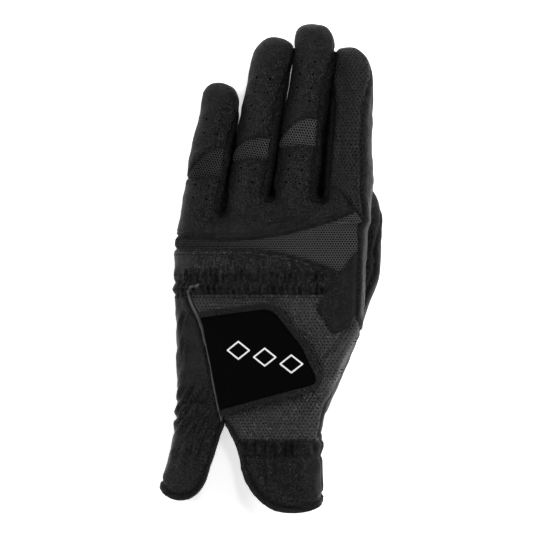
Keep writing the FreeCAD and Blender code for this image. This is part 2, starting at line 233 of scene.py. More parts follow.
# ---- the form of the glove ----------------------------------------------------------------------
@dataclass(frozen=True)
class DigitSpec:
    """Sizes of a finger or thumb in millimetres, and where its seams cross it."""

    name: str
    widths: tuple[float, float, float]
    heights: tuple[float, float, float]
    fold: float  # how far the outer half is turned down from the base half, in degrees
    insert: tuple[tuple[float, float], ...] = ()  # lower and upper edge: height and bow
    holes: tuple[float, ...] = ()
    wraps: bool = True  # whether the back reaches round the little finger's side
    shift: float = 0.0  # sideways
    skew: float = 0.0  # how far the fingertip leans sideways

    def edge(self, which: int, x: Array) -> Array:
        """Distance along the digit of the insert's lower or upper edge, over X."""
        top, bow = self.insert[which]
        return np.maximum(top - bow * np.minimum(x - 4.0, 0.0) ** 2, BEND_END + 0.3)


FINGERS = (
    DigitSpec("little", (22.2, 21.0, 17.0), (17.5, 16.0, 12.5), 1.5, ((16.5, 0.03), (29.6, 0.078)),
              (5.0, 11.5, 36.6, 43.4), shift=-1.3, skew=-0.9),
    DigitSpec("ring", (21.8, 21.2, 19.0), (18.5, 17.0, 13.5), 3.5, ((17.5, 0.024), (26.4, 0.029)),
              (5.0, 11.5, 34.7, 41.3, 48.3, 55.4), shift=-0.5, skew=1.7),
    DigitSpec("middle", (23.6, 21.3, 18.8), (18.5, 17.5, 14.0), 5.0, ((22.2, 0.012), (34.0, 0.045)),
              (3.5, 10.0, 16.5, 42.5, 49.1, 55.7, 62.3), skew=-1.6),
    DigitSpec("index", (24.0, 21.4, 18.4), (18.5, 17.0, 13.5), 8.0, wraps=False, skew=-3.2),
)
THUMB = DigitSpec("thumb", (22.0, 20.4, 16.4), (15.4, 15.0, 12.4), 0.0, wraps=False, skew=-3.4)
THUMB_LEANS = (20.5, 4.0)
THUMB_LENGTH = 31.0
THUMB_EXTRA = 8.0  # how far the thumb reaches beyond its CAD solid
VOXEL = 0.85  # grain of the merged form
TIP_ROUND = 9.5
SQUARE = 2.35  # how square a digit's cross-section is
PINCH = 0.5  # how much slimmer the fingers are while the form is merged, so that they stay apart
BEND_START = 2.0  # where a digit's base piece begins, beyond its root hinge
BEND_END = 13.6
FOLD_HALF = 7.0


class Digit:
    """A finger or the thumb: two tapered halves with a rounded end."""

    def __init__(self, spec: DigitSpec, base: LocalFrame, tip: LocalFrame, reach: float) -> None:
        """Keeps the frames of both halves.

        Args:
            spec: Sizes of the digit.
            base: Frame at the root hinge's height, Y along the digit.
            tip: Frame at the middle fold.
            reach: Length of the outer half.
        """
        self.spec, self.base, self.tip = spec, base, tip
        self.first = float(np.linalg.norm(tip.origin - base.origin))
        self.length = self.first + reach
        self.cut_low = BEND_START
        self.cut_mid = self.first - 9.0 if spec.insert else self.first - FOLD_HALF - 1.0

    def sizes(self, s: Array) -> tuple[Array, Array]:
        """Width and height at distances along the digit."""
        marks = (0.0, self.first, self.length)
        width = np.interp(s, marks, self.spec.widths)
        height = np.interp(s, marks, self.spec.heights)
        if self.spec is not THUMB:
            height = height + 2.2 * (1 - smoothstep((s + 5.0) / 17.0))
        return width, height

    def point(self, s: Array, x: Array, z: Array) -> Array:
        """Row-frame points from distances along, across and up from the underside.

        Args:
            s: Distances along the digit.
            x: Distances across it.
            z: Heights over its underside.

        Returns:
            One point for each place.
        """
        share = smoothstep((s - self.first + FOLD_HALF) / (2 * FOLD_HALF))[..., None]
        low = self.base.row(np.stack([x, s, z], axis=-1))
        high = self.tip.row(np.stack([x, s - self.first, z], axis=-1))
        return low + (high - low) * share

    def local(self, points: Array) -> Array:
        """Across, along and up for row-frame points."""
        low, high = self.base.local(points), self.tip.local(points)
        high[:, 1] += self.first
        share = smoothstep((low[:, 1] - self.first + FOLD_HALF) / (2 * FOLD_HALF))[:, None]
        place = low + (high - low) * share
        place[:, 0] -= self.aside(place[:, 1])
        return place

    def rings(self, start: float, inset: float, around: int = 48) -> Array:
        """Cross-sections from start to the end, each of as many points as around says.

        Args:
            start: Where the tube begins along the digit.
            inset: How much slimmer than the digit it is.
            around: Points in each section.

        Returns:
            The sections in the row frame.
        """
        reach = self.length - inset
        body = np.arange(start, reach - TIP_ROUND, 2.0)
        dome = reach - TIP_ROUND + TIP_ROUND * np.sin(np.linspace(0, math.pi / 2 - 0.06, 12))
        s = np.concatenate([body, dome])[:, None]
        beyond = np.clip((s - (reach - TIP_ROUND)) / TIP_ROUND, 0, 1)
        shrink = (1 - beyond ** 2.8) ** (1 / 2.5)
        turn = np.linspace(0, 2 * math.pi, around, endpoint=False)[None, :]
        width, height = self.sizes(s)
        power = 2 / SQUARE
        across = np.sign(np.cos(turn)) * np.abs(np.cos(turn)) ** power
        up = np.sign(np.sin(turn)) * np.abs(np.sin(turn)) ** power
        x = (width / 2 - inset) * shrink * across + self.aside(s)
        z = height / 2 + (height / 2 - inset) * shrink * up
        return self.point(np.broadcast_to(s, x.shape), x, z)

    def aside(self, s: Array) -> Array:
        """Sideways offset of the digit's middle."""
        return self.spec.shift + self.spec.skew * smoothstep((s - self.length + 16.0) / 16.0)

    def radius(self, places: Array) -> Array:
        """For places across, along and up: 1 on the digit's skin, less inside it, more outside."""
        width, height = self.sizes(places[:, 1])
        across, up = np.abs(2 * places[:, 0] / width), np.abs(2 * places[:, 2] / height - 1)
        beyond = np.maximum(places[:, 1] - self.length + TIP_ROUND, 0) / TIP_ROUND
        return (across ** SQUARE + up ** SQUARE + beyond ** SQUARE) ** (1 / SQUARE)

    def seam_heights(self, x: Array, s: Array) -> tuple[Array, Array]:
        """Heights of the seams that bound the side walls, which close towards the tip.

        Args:
            x: Distances across the digit.
            s: Distances along it.

        Returns:
            Heights of the upper and the lower seam.
        """
        _, height = self.sizes(s)
        closing = 1 - smoothstep((s - (self.length - 34.0)) / 33.0)
        share = 0.05 + 0.69 * smoothstep((x + 5.0) / 10.0) if self.spec.wraps else 0.74
        return height / 2 * (1 + share * closing), height / 2 * (1 - 0.6 * closing)


@dataclass
class HandSpec:
    """Outline of the hand in its own flat frame: stations of Y, left, right and height."""

    stations: tuple[tuple[float, float, float, float], ...] = (
        (-122.0, -58.2, 26.4, 25.0), (-106.0, -54.0, 26.2, 25.0), (-84.0, -47.6, 24.4, 25.0),
        (-70.0, -45.6, 26.6, 25.0), (-58.0, -45.0, 31.2, 25.0), (-25.0, -45.8, 46.4, 25.0),
        (0.0, -46.5, 47.4, 24.6), (15.0, -47.2, 48.0, 24.0), (30.0, -45.0, 49.4, 22.2),
        (42.0, -42.8, 50.2, 20.0))
    power: float = 3.0
    shoulder: float = 0.86
    front: float = 27.5
    nose: float = 7.0
    little_step: float = 7.5
    middle_root: tuple[float, float, float] = (14.0, 37.0, 1.0)
    seam_high: float = 16.8
    seam_low: float = 4.8


class Hand:
    """The hand: a flattened tube from the cuff to the crotches, in a frame rolled about Y."""

    def __init__(self, spec: HandSpec) -> None:
        """Takes the roll and place from the middle finger's hinge."""
        self.spec = spec
        axis = np.array(joint("middle_knuckle")["axis"], float)
        roll = math.atan2(-axis[2], -axis[0])
        axes = np.array([[math.cos(roll), 0, math.sin(roll)], [0, 1.0, 0],
                         [-math.sin(roll), 0, math.cos(roll)]])
        origin = joint_point("middle_knuckle") - np.array(spec.middle_root) @ axes
        self.frame = LocalFrame(origin, axes)
        table = np.array(spec.stations)
        self.grid = np.arange(-126.0, 46.0, 1.0)
        kernel = np.exp(-np.linspace(-2.4, 2.4, 25) ** 2 / 2)
        kernel /= kernel.sum()
        padded = np.arange(-138.0, 58.0, 1.0)
        smoothed = (np.convolve(np.interp(padded, table[:, 0], table[:, i]), kernel, "same")
                    for i in (1, 2, 3))
        self.curves = [curve[12:-12] for curve in smoothed]

    def section(self, y: Array) -> tuple[Array, Array, Array]:
        """Left edge, right edge and height at stations along Y."""
        left, right, high = (np.interp(y, self.grid, curve) for curve in self.curves)
        return left, right, high

    def top(self, x: Array, y: Array) -> Array:
        """Height of the back over points of the flat frame, level beyond its shoulders."""
        left, right, high = self.section(y)
        power, share = self.spec.power, np.abs(x - (left + right) / 2) / ((right - left) / 2)
        share = np.clip(share, 0, self.spec.shoulder)
        return high / 2 * (1 + (1 - share ** power) ** (1 / power))

    def rings(self, around: int = 120) -> Array:
        """Cross-sections from beyond the cuff to the rounded front."""
        spec = self.spec
        body = np.arange(-122.0, spec.front, 3.0)
        turns = np.linspace(0, math.pi / 2 - 0.05, 7)
        y = np.concatenate([body, spec.front + spec.nose * np.sin(turns)])[:, None]
        shrink = np.concatenate([np.ones(len(body)), np.cos(turns)])[:, None]
        left, right, high = self.section(y)
        turn = np.linspace(0, 2 * math.pi, around, endpoint=False)[None, :]
        power = 2 / spec.power
        across = np.sign(np.cos(turn)) * np.abs(np.cos(turn)) ** power
        up = np.sign(np.sin(turn)) * np.abs(np.sin(turn)) ** power
        x = (left + right) / 2 + (right - left) / 2 * across * (0.9 + 0.1 * shrink)
        z = high / 2 * (1 + up * shrink)
        step = spec.little_step * smoothstep((-13.0 - x) / 10.0) * smoothstep((y - 5.0) / 20.0)
        return self.frame.row(np.stack([x, np.broadcast_to(y, x.shape) - step, z], axis=-1))


@dataclass(frozen=True)
class GussetSpec:
    """Tube that carries the thumb out of the hand, in the level frame of the thumb."""

    start: tuple[float, float, float] = (11.0, -66.0, 14.0)
    root: tuple[float, float, float] = (30.6, -28.0, 0.3)
    widths: tuple[float, float] = (28.0, 22.0)
    heights: tuple[float, float] = (22.0, 15.4)


class Gusset:
    """The thumb's root: a tapered tube from inside the hand to the thumb's first hinge."""

    def __init__(self, spec: GussetSpec, level: Array) -> None:
        """Keeps the tube's frame.

        Args:
            spec: Sizes of the tube.
            level: Origin of the level frame in the row frame.
        """
        self.spec = spec
        start, root = np.array(spec.start) + level, np.array(spec.root) + level
        ahead = unit(root - start)
        side = unit(np.cross(ahead, np.array([0, 0, 1.0])))
        self.frame = LocalFrame(start, np.array([side, ahead, np.cross(side, ahead)]))
        self.length = float(np.linalg.norm(root - start))

    def rings(self, around: int = 48) -> Array:
        """Cross-sections of the tube."""
        y = np.arange(0.0, self.length + 4.0, 2.5)[:, None]
        share = y / self.length
        width = self.spec.widths[0] + (self.spec.widths[1] - self.spec.widths[0]) * share
        height = self.spec.heights[0] + (self.spec.heights[1] - self.spec.heights[0]) * share
        turn = np.linspace(0, 2 * math.pi, around, endpoint=False)[None, :]
        x, z = width / 2 * np.cos(turn), height / 2 * (1 + np.sin(turn))
        return self.frame.row(np.stack([x, np.broadcast_to(y, x.shape), z], axis=-1))

    def field(self, points: Array) -> Array:
        """Negative on the stretch of skin that belongs to the gusset."""
        q = self.frame.local(points)
        share = np.clip(q[:, 1] / self.length, 0, 1.2)
        width = self.spec.widths[0] + (self.spec.widths[1] - self.spec.widths[0]) * share
        height = self.spec.heights[0] + (self.spec.heights[1] - self.spec.heights[0]) * share
        radius = np.hypot(q[:, 0] / (width / 2), (q[:, 2] - height / 2) / (height / 2))
        return (radius - 1.14) * 9.0


# ---- meshes -------------------------------------------------------------------------------------
THREAD = 0.24  # half the thickness of a sewing thread
THREAD_SINK = 0.05  # how deep a stitch lies in the leather
def select_only(obj: bpy.types.Object) -> None:
    """Makes an object the only selected and active one."""
    bpy.ops.object.select_all(action="DESELECT")
    obj.select_set(True)
    bpy.context.view_layer.objects.active = obj


def edit(obj: bpy.types.Object, *steps: Callable[[], object]) -> None:
    """Runs edit-mode operators on a whole object."""
    select_only(obj)
    bpy.ops.object.mode_set(mode="EDIT")
    bpy.ops.mesh.select_all(action="SELECT")
    for step in steps:
        step()
    bpy.ops.object.mode_set(mode="OBJECT")


def tube(name: str, rings: Array) -> bpy.types.Object:
    """Closed tube through cross-sections, from a grid primitive wrapped around them.

    Args:
        name: Name of the object.
        rings: Cross-sections, each of as many points.

    Returns:
        The tube in millimetres.
    """
    count, around, _ = rings.shape
    bpy.ops.mesh.primitive_grid_add(x_subdivisions=around, y_subdivisions=count - 1, size=2)
    obj = bpy.context.object
    obj.name = name
    spots = np.empty(len(obj.data.vertices) * 3)
    obj.data.vertices.foreach_get("co", spots)
    spots = spots.reshape(-1, 3)
    columns = np.rint((spots[:, 0] + 1) / 2 * around).astype(int) % around
    rows = np.rint((spots[:, 1] + 1) / 2 * (count - 1)).astype(int)
    obj.data.vertices.foreach_set("co", rings[rows, columns].ravel())
    edit(obj, lambda: bpy.ops.mesh.remove_doubles(threshold=0.01),
         lambda: bpy.ops.mesh.fill_holes(sides=0),
         lambda: bpy.ops.mesh.normals_make_consistent(inside=False))
    return obj


class Surface:
    """Polygon surface that can be cut along level lines of a field and divided into panels."""

    def __init__(self, points: Array, faces: list[tuple[int, ...]],
                 flat: Optional[Array] = None) -> None:
        """Keeps the points, in millimetres, the faces, and the points' places in the pattern."""
        self.points = points
        self.faces = faces
        self.flat = points.copy() if flat is None else flat

    @classmethod
    def of(cls, obj: bpy.types.Object) -> "Surface":
        """Surface with an object's mesh, which is then removed."""
        points = np.empty(len(obj.data.vertices) * 3)
        obj.data.vertices.foreach_get("co", points)
        faces = [tuple(p.vertices) for p in obj.data.polygons]
        mesh = obj.data
        bpy.data.objects.remove(obj)
        bpy.data.meshes.remove(mesh)
        return cls(points.reshape(-1, 3), faces)

    def edges(self) -> Array:
        """Pairs of joined points."""
        pairs = {(min(a, b), max(a, b)) for f in self.faces for a, b in zip(f, f[1:] + f[:1])}
        return np.array(sorted(pairs))

    def relax(self, rounds: int, weight: Optional[Array] = None, factor: float = 0.5) -> None:
        """Moves each point towards the middle of its neighbours.

        Args:
            rounds: How many times.
            weight: Share of the move for each point, or None for all of it.
            factor: Size of a full move.
        """
        pairs = self.edges()
        count = np.bincount(pairs.ravel(), minlength=len(self.points))[:, None]
        strength = factor if weight is None else factor * weight[:, None]
        for _ in range(rounds):
            total = np.zeros_like(self.points)
            for axis in range(3):
                for a, b in ((0, 1), (1, 0)):
                    total[:, axis] += np.bincount(pairs[:, a], self.points[pairs[:, b], axis],
                                                  len(self.points))
            self.points = self.points + (total / np.maximum(count, 1) - self.points) * strength

    def normals(self) -> Array:
        """Outward direction at each point."""
        total = np.zeros_like(self.points)
        sizes = np.array([len(f) for f in self.faces])
        for size in np.unique(sizes):
            corners = np.array([f for f in self.faces if len(f) == size])
            p = self.points[corners]
            area = np.zeros((len(corners), 3))
            for i in range(1, size - 1):
                area += np.cross(p[:, i] - p[:, 0], p[:, i + 1] - p[:, 0])
            for i in range(size):
                for axis in range(3):
                    total[:, axis] += np.bincount(corners[:, i], area[:, axis], len(self.points))
        return unit(total)

    def centres(self) -> Array:
        """Middle of each face in the pattern."""
        return np.array([self.flat[list(f)].mean(axis=0) for f in self.faces])

    def trimmed(self, level: Field) -> "Surface":
        """What lies where a field is negative."""
        self.cut(level)
        return self.part(np.flatnonzero(level(self.centres()) < 0))

    def cut(self, level: Field, near: Optional[Callable[[Array], Array]] = None) -> None:
        """Adds edges where a field is zero, among the points that near picks.

        Args:
            level: The field.
            near: Picks the points that may be cut, or None for all.
        """
        values = level(self.flat)
        values[np.abs(values) < 0.07] = 0.0
        chosen = np.ones(len(values), bool) if near is None else near(self.flat)
        sign = np.where(chosen, np.sign(values), 9).astype(int).tolist()
        value = values.tolist()
        added: dict[tuple[int, int], int] = {}
        extra: list[tuple[Array, Array]] = []
        faces = []
        total = len(self.points)
        for face in self.faces:
            signs = {sign[i] for i in face}
            if not (1 in signs and -1 in signs):
                faces.append(face)
                continue
            loop: list[int] = []
            on: list[int] = []
            for a, b in zip(face, face[1:] + face[:1]):
                if sign[a] == 0:
                    on.append(len(loop))
                loop.append(a)
                if sign[a] * sign[b] == -1:
                    key = (min(a, b), max(a, b))
                    if key not in added:
                        share = value[key[0]] / (value[key[0]] - value[key[1]])
                        added[key] = total + len(extra)
                        extra.append(tuple(d[key[0]] + (d[key[1]] - d[key[0]]) * share
                                           for d in (self.points, self.flat)))
                    on.append(len(loop))
                    loop.append(added[key])
            if len(on) >= 2 and 9 not in signs:
                i, j = on[0], on[1] if len(on) == 2 else on[-1]
                first, second = loop[i:j + 1], loop[j:] + loop[:i + 1]
                if len(first) > 2 and len(second) > 2:
                    faces += [tuple(first), tuple(second)]
                    continue
            faces.append(tuple(loop))
        self.faces = faces
        if extra:
            self.points = np.vstack([self.points, [e[0] for e in extra]])
            self.flat = np.vstack([self.flat, [e[1] for e in extra]])
            self.mend(added)

    def mend(self, added: dict[tuple[int, int], int]) -> None:
        """Puts the new points into faces that share a cut edge but weren't cut themselves.

        Args:
            added: Index of the new point on each cut edge.
        """
        faces = []
        for face in self.faces:
            pairs = list(zip(face, face[1:] + face[:1]))
            if any((min(p), max(p)) in added for p in pairs):
                loop: list[int] = []
                for a, b in pairs:
                    loop.append(a)
                    if (min(a, b), max(a, b)) in added:
                        loop.append(added[(min(a, b), max(a, b))])
                face = tuple(loop)
            faces.append(face)
        self.faces = faces

    def part(self, keep: Iterable[int]) -> "Surface":
        """Surface of some of the faces.

        Args:
            keep: Indices of the faces.

        Returns:
            A surface of its own points.
        """
        faces = [self.faces[i] for i in keep]
        used = sorted({i for f in faces for i in f})
        new = {old: i for i, old in enumerate(used)}
        faces = [tuple(new[i] for i in f) for f in faces]
        return Surface(self.points[used], faces, self.flat[used])

    def level_lines(self, level: Field, within: Optional[Callable[[Array], Array]] = None
                    ) -> list[tuple[Array, Array]]:
        """Lines where a field of the flat points is zero, with the outward direction along them.

        Args:
            level: The field.
            within: Picks the points to search, or None for all.

        Returns:
            Points and outward directions of each line.
        """
        values = level(self.flat)
        values[values == 0.0] = 1e-9
        normals = self.normals()
        allowed = np.ones(len(values), bool) if within is None else within(self.flat)
        spots: dict[tuple[int, int], tuple[Array, Array]] = {}
        links: dict[tuple[int, int], list[tuple[int, int]]] = {}
        positive = values > 0
        sign, fine = positive.tolist(), allowed.tolist()
        for face in self.faces:
            if not all(fine[i] for i in face) or len({sign[i] for i in face}) < 2:
                continue
            found = []
            for a, b in zip(face, face[1:] + face[:1]):
                if sign[a] != sign[b]:
                    key = (min(a, b), max(a, b))
                    if key not in spots:
                        share = values[key[0]] / (values[key[0]] - values[key[1]])
                        spots[key] = tuple(d[key[0]] + (d[key[1]] - d[key[0]]) * share
                                           for d in (self.points, normals))
                    found.append(key)
            for a, b in zip(found[::2], found[1::2]):
                links.setdefault(a, []).append(b)
                links.setdefault(b, []).append(a)
        lines = []
        waiting = sorted(links, key=lambda k: (len(links[k]) != 1, k))
        seen: set[tuple[int, int]] = set()
        for start in waiting:
            if start in seen:
                continue
            chain, here = [start], start
            seen.add(start)
            while True:
                ahead = [k for k in links[here] if k not in seen]
                if not ahead:
                    break
                here = ahead[0]
                seen.add(here)
                chain.append(here)
            if len(links[start]) == 2 and start in links[here]:
                chain.append(start)
            if len(chain) > 2:
                lines.append((np.array([spots[k][0] for k in chain]),
                              unit(np.array([spots[k][1] for k in chain]))))
        return lines

    def object(self, name: str, uv: Optional[Array] = None) -> bpy.types.Object:
        """Object with this surface in millimetres, and with pattern coordinates as a UV map.

        Args:
            name: Name of the object.
            uv: Pattern coordinates of each point, or None.

        Returns:
            The object, linked to the scene.
        """
        mesh = bpy.data.meshes.new(name)
        mesh.from_pydata(self.points.tolist(), [], self.faces)
        mesh.update()
        obj = bpy.data.objects.new(name, mesh)
        bpy.context.scene.collection.objects.link(obj)
        if uv is not None:
            layer = mesh.uv_layers.new(name="Panel")
            corners = np.empty(len(mesh.loops), int)
            mesh.loops.foreach_get("vertex_index", corners)
            layer.data.foreach_set("uv", uv[corners].ravel())
        return obj


def apply_modifier(obj: bpy.types.Object, kind: str, **settings: object) -> None:
    """Adds a modifier, sets it and applies it."""
    select_only(obj)
    modifier = obj.modifiers.new(kind.title(), kind)
    for key, value in settings.items():
        setattr(modifier, key, value)
    bpy.ops.object.modifier_apply(modifier=modifier.name)


def thicken(obj: bpy.types.Object, thickness: float, outwards: bool = False,
            bevel: float = 0.0) -> None:
    """Gives a surface its thickness, in millimetres, and rounds its free edges.

    Args:
        obj: The surface's object.
        thickness: Thickness of the piece.
        outwards: Whether it grows out of the surface instead of into it.
        bevel: Width of the rounded edges, or 0.
    """
    apply_modifier(obj, "SOLIDIFY", thickness=thickness, offset=1.0 if outwards else -1.0,
                   use_even_offset=False, use_quality_normals=True)
    if bevel:
        apply_modifier(obj, "BEVEL", width=bevel, segments=2, limit_method="ANGLE",
                       angle_limit=math.radians(55), use_clamp_overlap=True)
    finish_shading(obj)


def finish_shading(obj: bpy.types.Object, angle: float = 48.0) -> None:
    """Smooth shading that breaks at sharp edges."""
    obj.data.shade_smooth()
    obj.data.set_sharp_from_angle(angle=math.radians(angle))


def capsules(name: str, places: Sequence[tuple[Array, Array, Array]], radius: float, length: float,
             sides: int = 8) -> bpy.types.Object:
    """One object of many short threads.

    Args:
        name: The object's name.
        places: Middle, direction and outward direction of each thread, in millimetres.
        radius: Half the thread's thickness.
        length: Length of a thread.
        sides: Faces around a thread.
    """
    bpy.ops.mesh.primitive_uv_sphere_add(segments=sides, ring_count=6, radius=1)
    ball = Surface.of(bpy.context.object)
    pattern = ball.points * radius
    pattern[:, 2] += np.sign(np.round(ball.points[:, 2], 4)) * max(length / 2 - radius, 0)
    points, faces = [], []
    for middle, along, out in places:
        side = unit(np.cross(out, along))
        axes = np.array([side, np.cross(along, side), along])
        faces += [tuple(i + len(points) * len(pattern) for i in f) for f in ball.faces]
        points.append(pattern @ axes + middle)
    obj = Surface(np.vstack(points), faces).object(name)
    obj.data.shade_smooth()
    return obj


def along_line(line: tuple[Array, Array], pitch: float, sink: float = 0.0
               ) -> list[tuple[Array, Array, Array]]:
    """Evenly spaced places along a line: middle, direction and outward direction.

    Args:
        line: Points and outward directions.
        pitch: Distance between places.
        sink: How far the places lie below the line.

    Returns:
        The places in order.
    """
    points, outs = line
    steps = np.linalg.norm(np.diff(points, axis=0), axis=1)
    run = np.concatenate([[0], np.cumsum(steps)])
    count = max(int(run[-1] / pitch), 1)
    marks = (np.arange(count) + 0.5) * run[-1] / count

    def at(mark: Array, data: Array) -> Array:
        """Values at distances along the line."""
        return np.stack([np.interp(mark, run, data[:, i]) for i in range(3)], axis=1)

    middles, normals = at(marks, points), unit(at(marks, outs))
    ahead = unit(at(marks + pitch / 2.5, points) - at(marks - pitch / 2.5, points))
    return [(m - n * sink, a, n) for m, a, n in zip(middles, ahead, normals)]


# ---- finishes -----------------------------------------------------------------------------------
RELIEF = 0.001  # height of the fine relief, in metres
POLISH = 0.12  # how much a leather's roughness varies either way
ROW_PITCH = 0.87  # distance between rows of holes, as a share of their pitch


class Slot(Enum):
    """Material slots of the record."""

    LEATHER = "leather"
    PERFORATED = "perforated_leather"
    SIDE = "side_leather"
    GRIP = "grip_leather"
    MESH = "knit_mesh"
    ELASTIC = "elastic"
    MICROFIBRE = "microfibre"
    BINDING = "binding"
    HOOK = "hook_tape"
    LOOP = "loop_tape"
    THREAD = "white_thread"


class Pattern(Enum):
    """Fine relief of a material."""

    GRAIN = "grain"
    KNIT = "knit"
    PINHOLES = "pinholes"
    NAP = "nap"
    WEAVE = "weave"
    PLAIN = "plain"


@dataclass
class Graph:
    """Shader nodes of one material, and short ways to add to them."""

    nodes: bpy.types.Nodes
    links: bpy.types.NodeLinks
    shader: bpy.types.Node
    place: bpy.types.Node

    def noise(self, source: Socket, scale: float, detail: float = 2.0) -> Socket:
        """Noise texture over a source, at a scale per metre or per unit of the source."""
        texture = self.nodes.new("ShaderNodeTexNoise")
        texture.inputs["Scale"].default_value = scale
        texture.inputs["Detail"].default_value = detail
        self.links.new(source, texture.inputs["Vector"])
        return texture.outputs["Fac"]

    def mixed(self, first: Socket, second: Socket, share: float) -> Socket:
        """Two values mixed by a fixed share of the second."""
        mix = self.nodes.new("ShaderNodeMix")
        mix.inputs["Factor"].default_value = share
        self.links.new(first, mix.inputs["A"])
        self.links.new(second, mix.inputs["B"])
        return mix.outputs["Result"]

    def spread(self, value: Socket, low: float, high: float) -> Socket:
        """A value from 0 to 1 spread over a range."""
        spread = self.nodes.new("ShaderNodeMapRange")
        spread.inputs["To Min"].default_value = low
        spread.inputs["To Max"].default_value = high
        self.links.new(value, spread.inputs["Value"])
        return spread.outputs["Result"]

    def maths(self, kind: str, *values: Union[float, Socket]) -> Socket:
        """Result of a maths node over numbers and sockets."""
        node = self.nodes.new("ShaderNodeMath")
        node.operation = kind
        for i, value in enumerate(values):
            if isinstance(value, (int, float)):
                node.inputs[i].default_value = value
            else:
                self.links.new(value, node.inputs[i])
        return node.outputs[0]

    def split(self, vector: Socket) -> bpy.types.Node:
        """Node that divides a vector into X, Y and Z."""
        node = self.nodes.new("ShaderNodeSeparateXYZ")
        self.links.new(vector, node.inputs["Vector"])
        return node

    def lattice(self, pitch: float) -> Socket:
        """Staggered lattice of holes in a panel's pattern.

        Args:
            pitch: Distance between neighbouring holes, in millimetres.

        Returns:
            Distance from the nearest hole's middle, as a share of the pitch.
        """
        scale = self.nodes.new("ShaderNodeMapping")
        scale.inputs["Scale"].default_value = (1 / pitch, 1 / (pitch * ROW_PITCH), 1)
        self.links.new(self.place.outputs["UV"], scale.inputs["Vector"])
        split = self.split(scale.outputs["Vector"])
        row = self.maths("FLOOR", split.outputs["Y"])
        shift = self.maths("MULTIPLY", self.maths("MODULO", self.maths("ABSOLUTE", row), 2.0), 0.5)
        moved = self.maths("ADD", split.outputs["X"], shift)
        x = self.maths("SUBTRACT", self.maths("FRACT", moved), 0.5)
        y = self.maths("SUBTRACT", self.maths("FRACT", split.outputs["Y"]), 0.5)
        y = self.maths("MULTIPLY", y, ROW_PITCH)
        squares = (self.maths("MULTIPLY", x, x), self.maths("MULTIPLY", y, y))
        return self.maths("SQRT", self.maths("ADD", *squares))


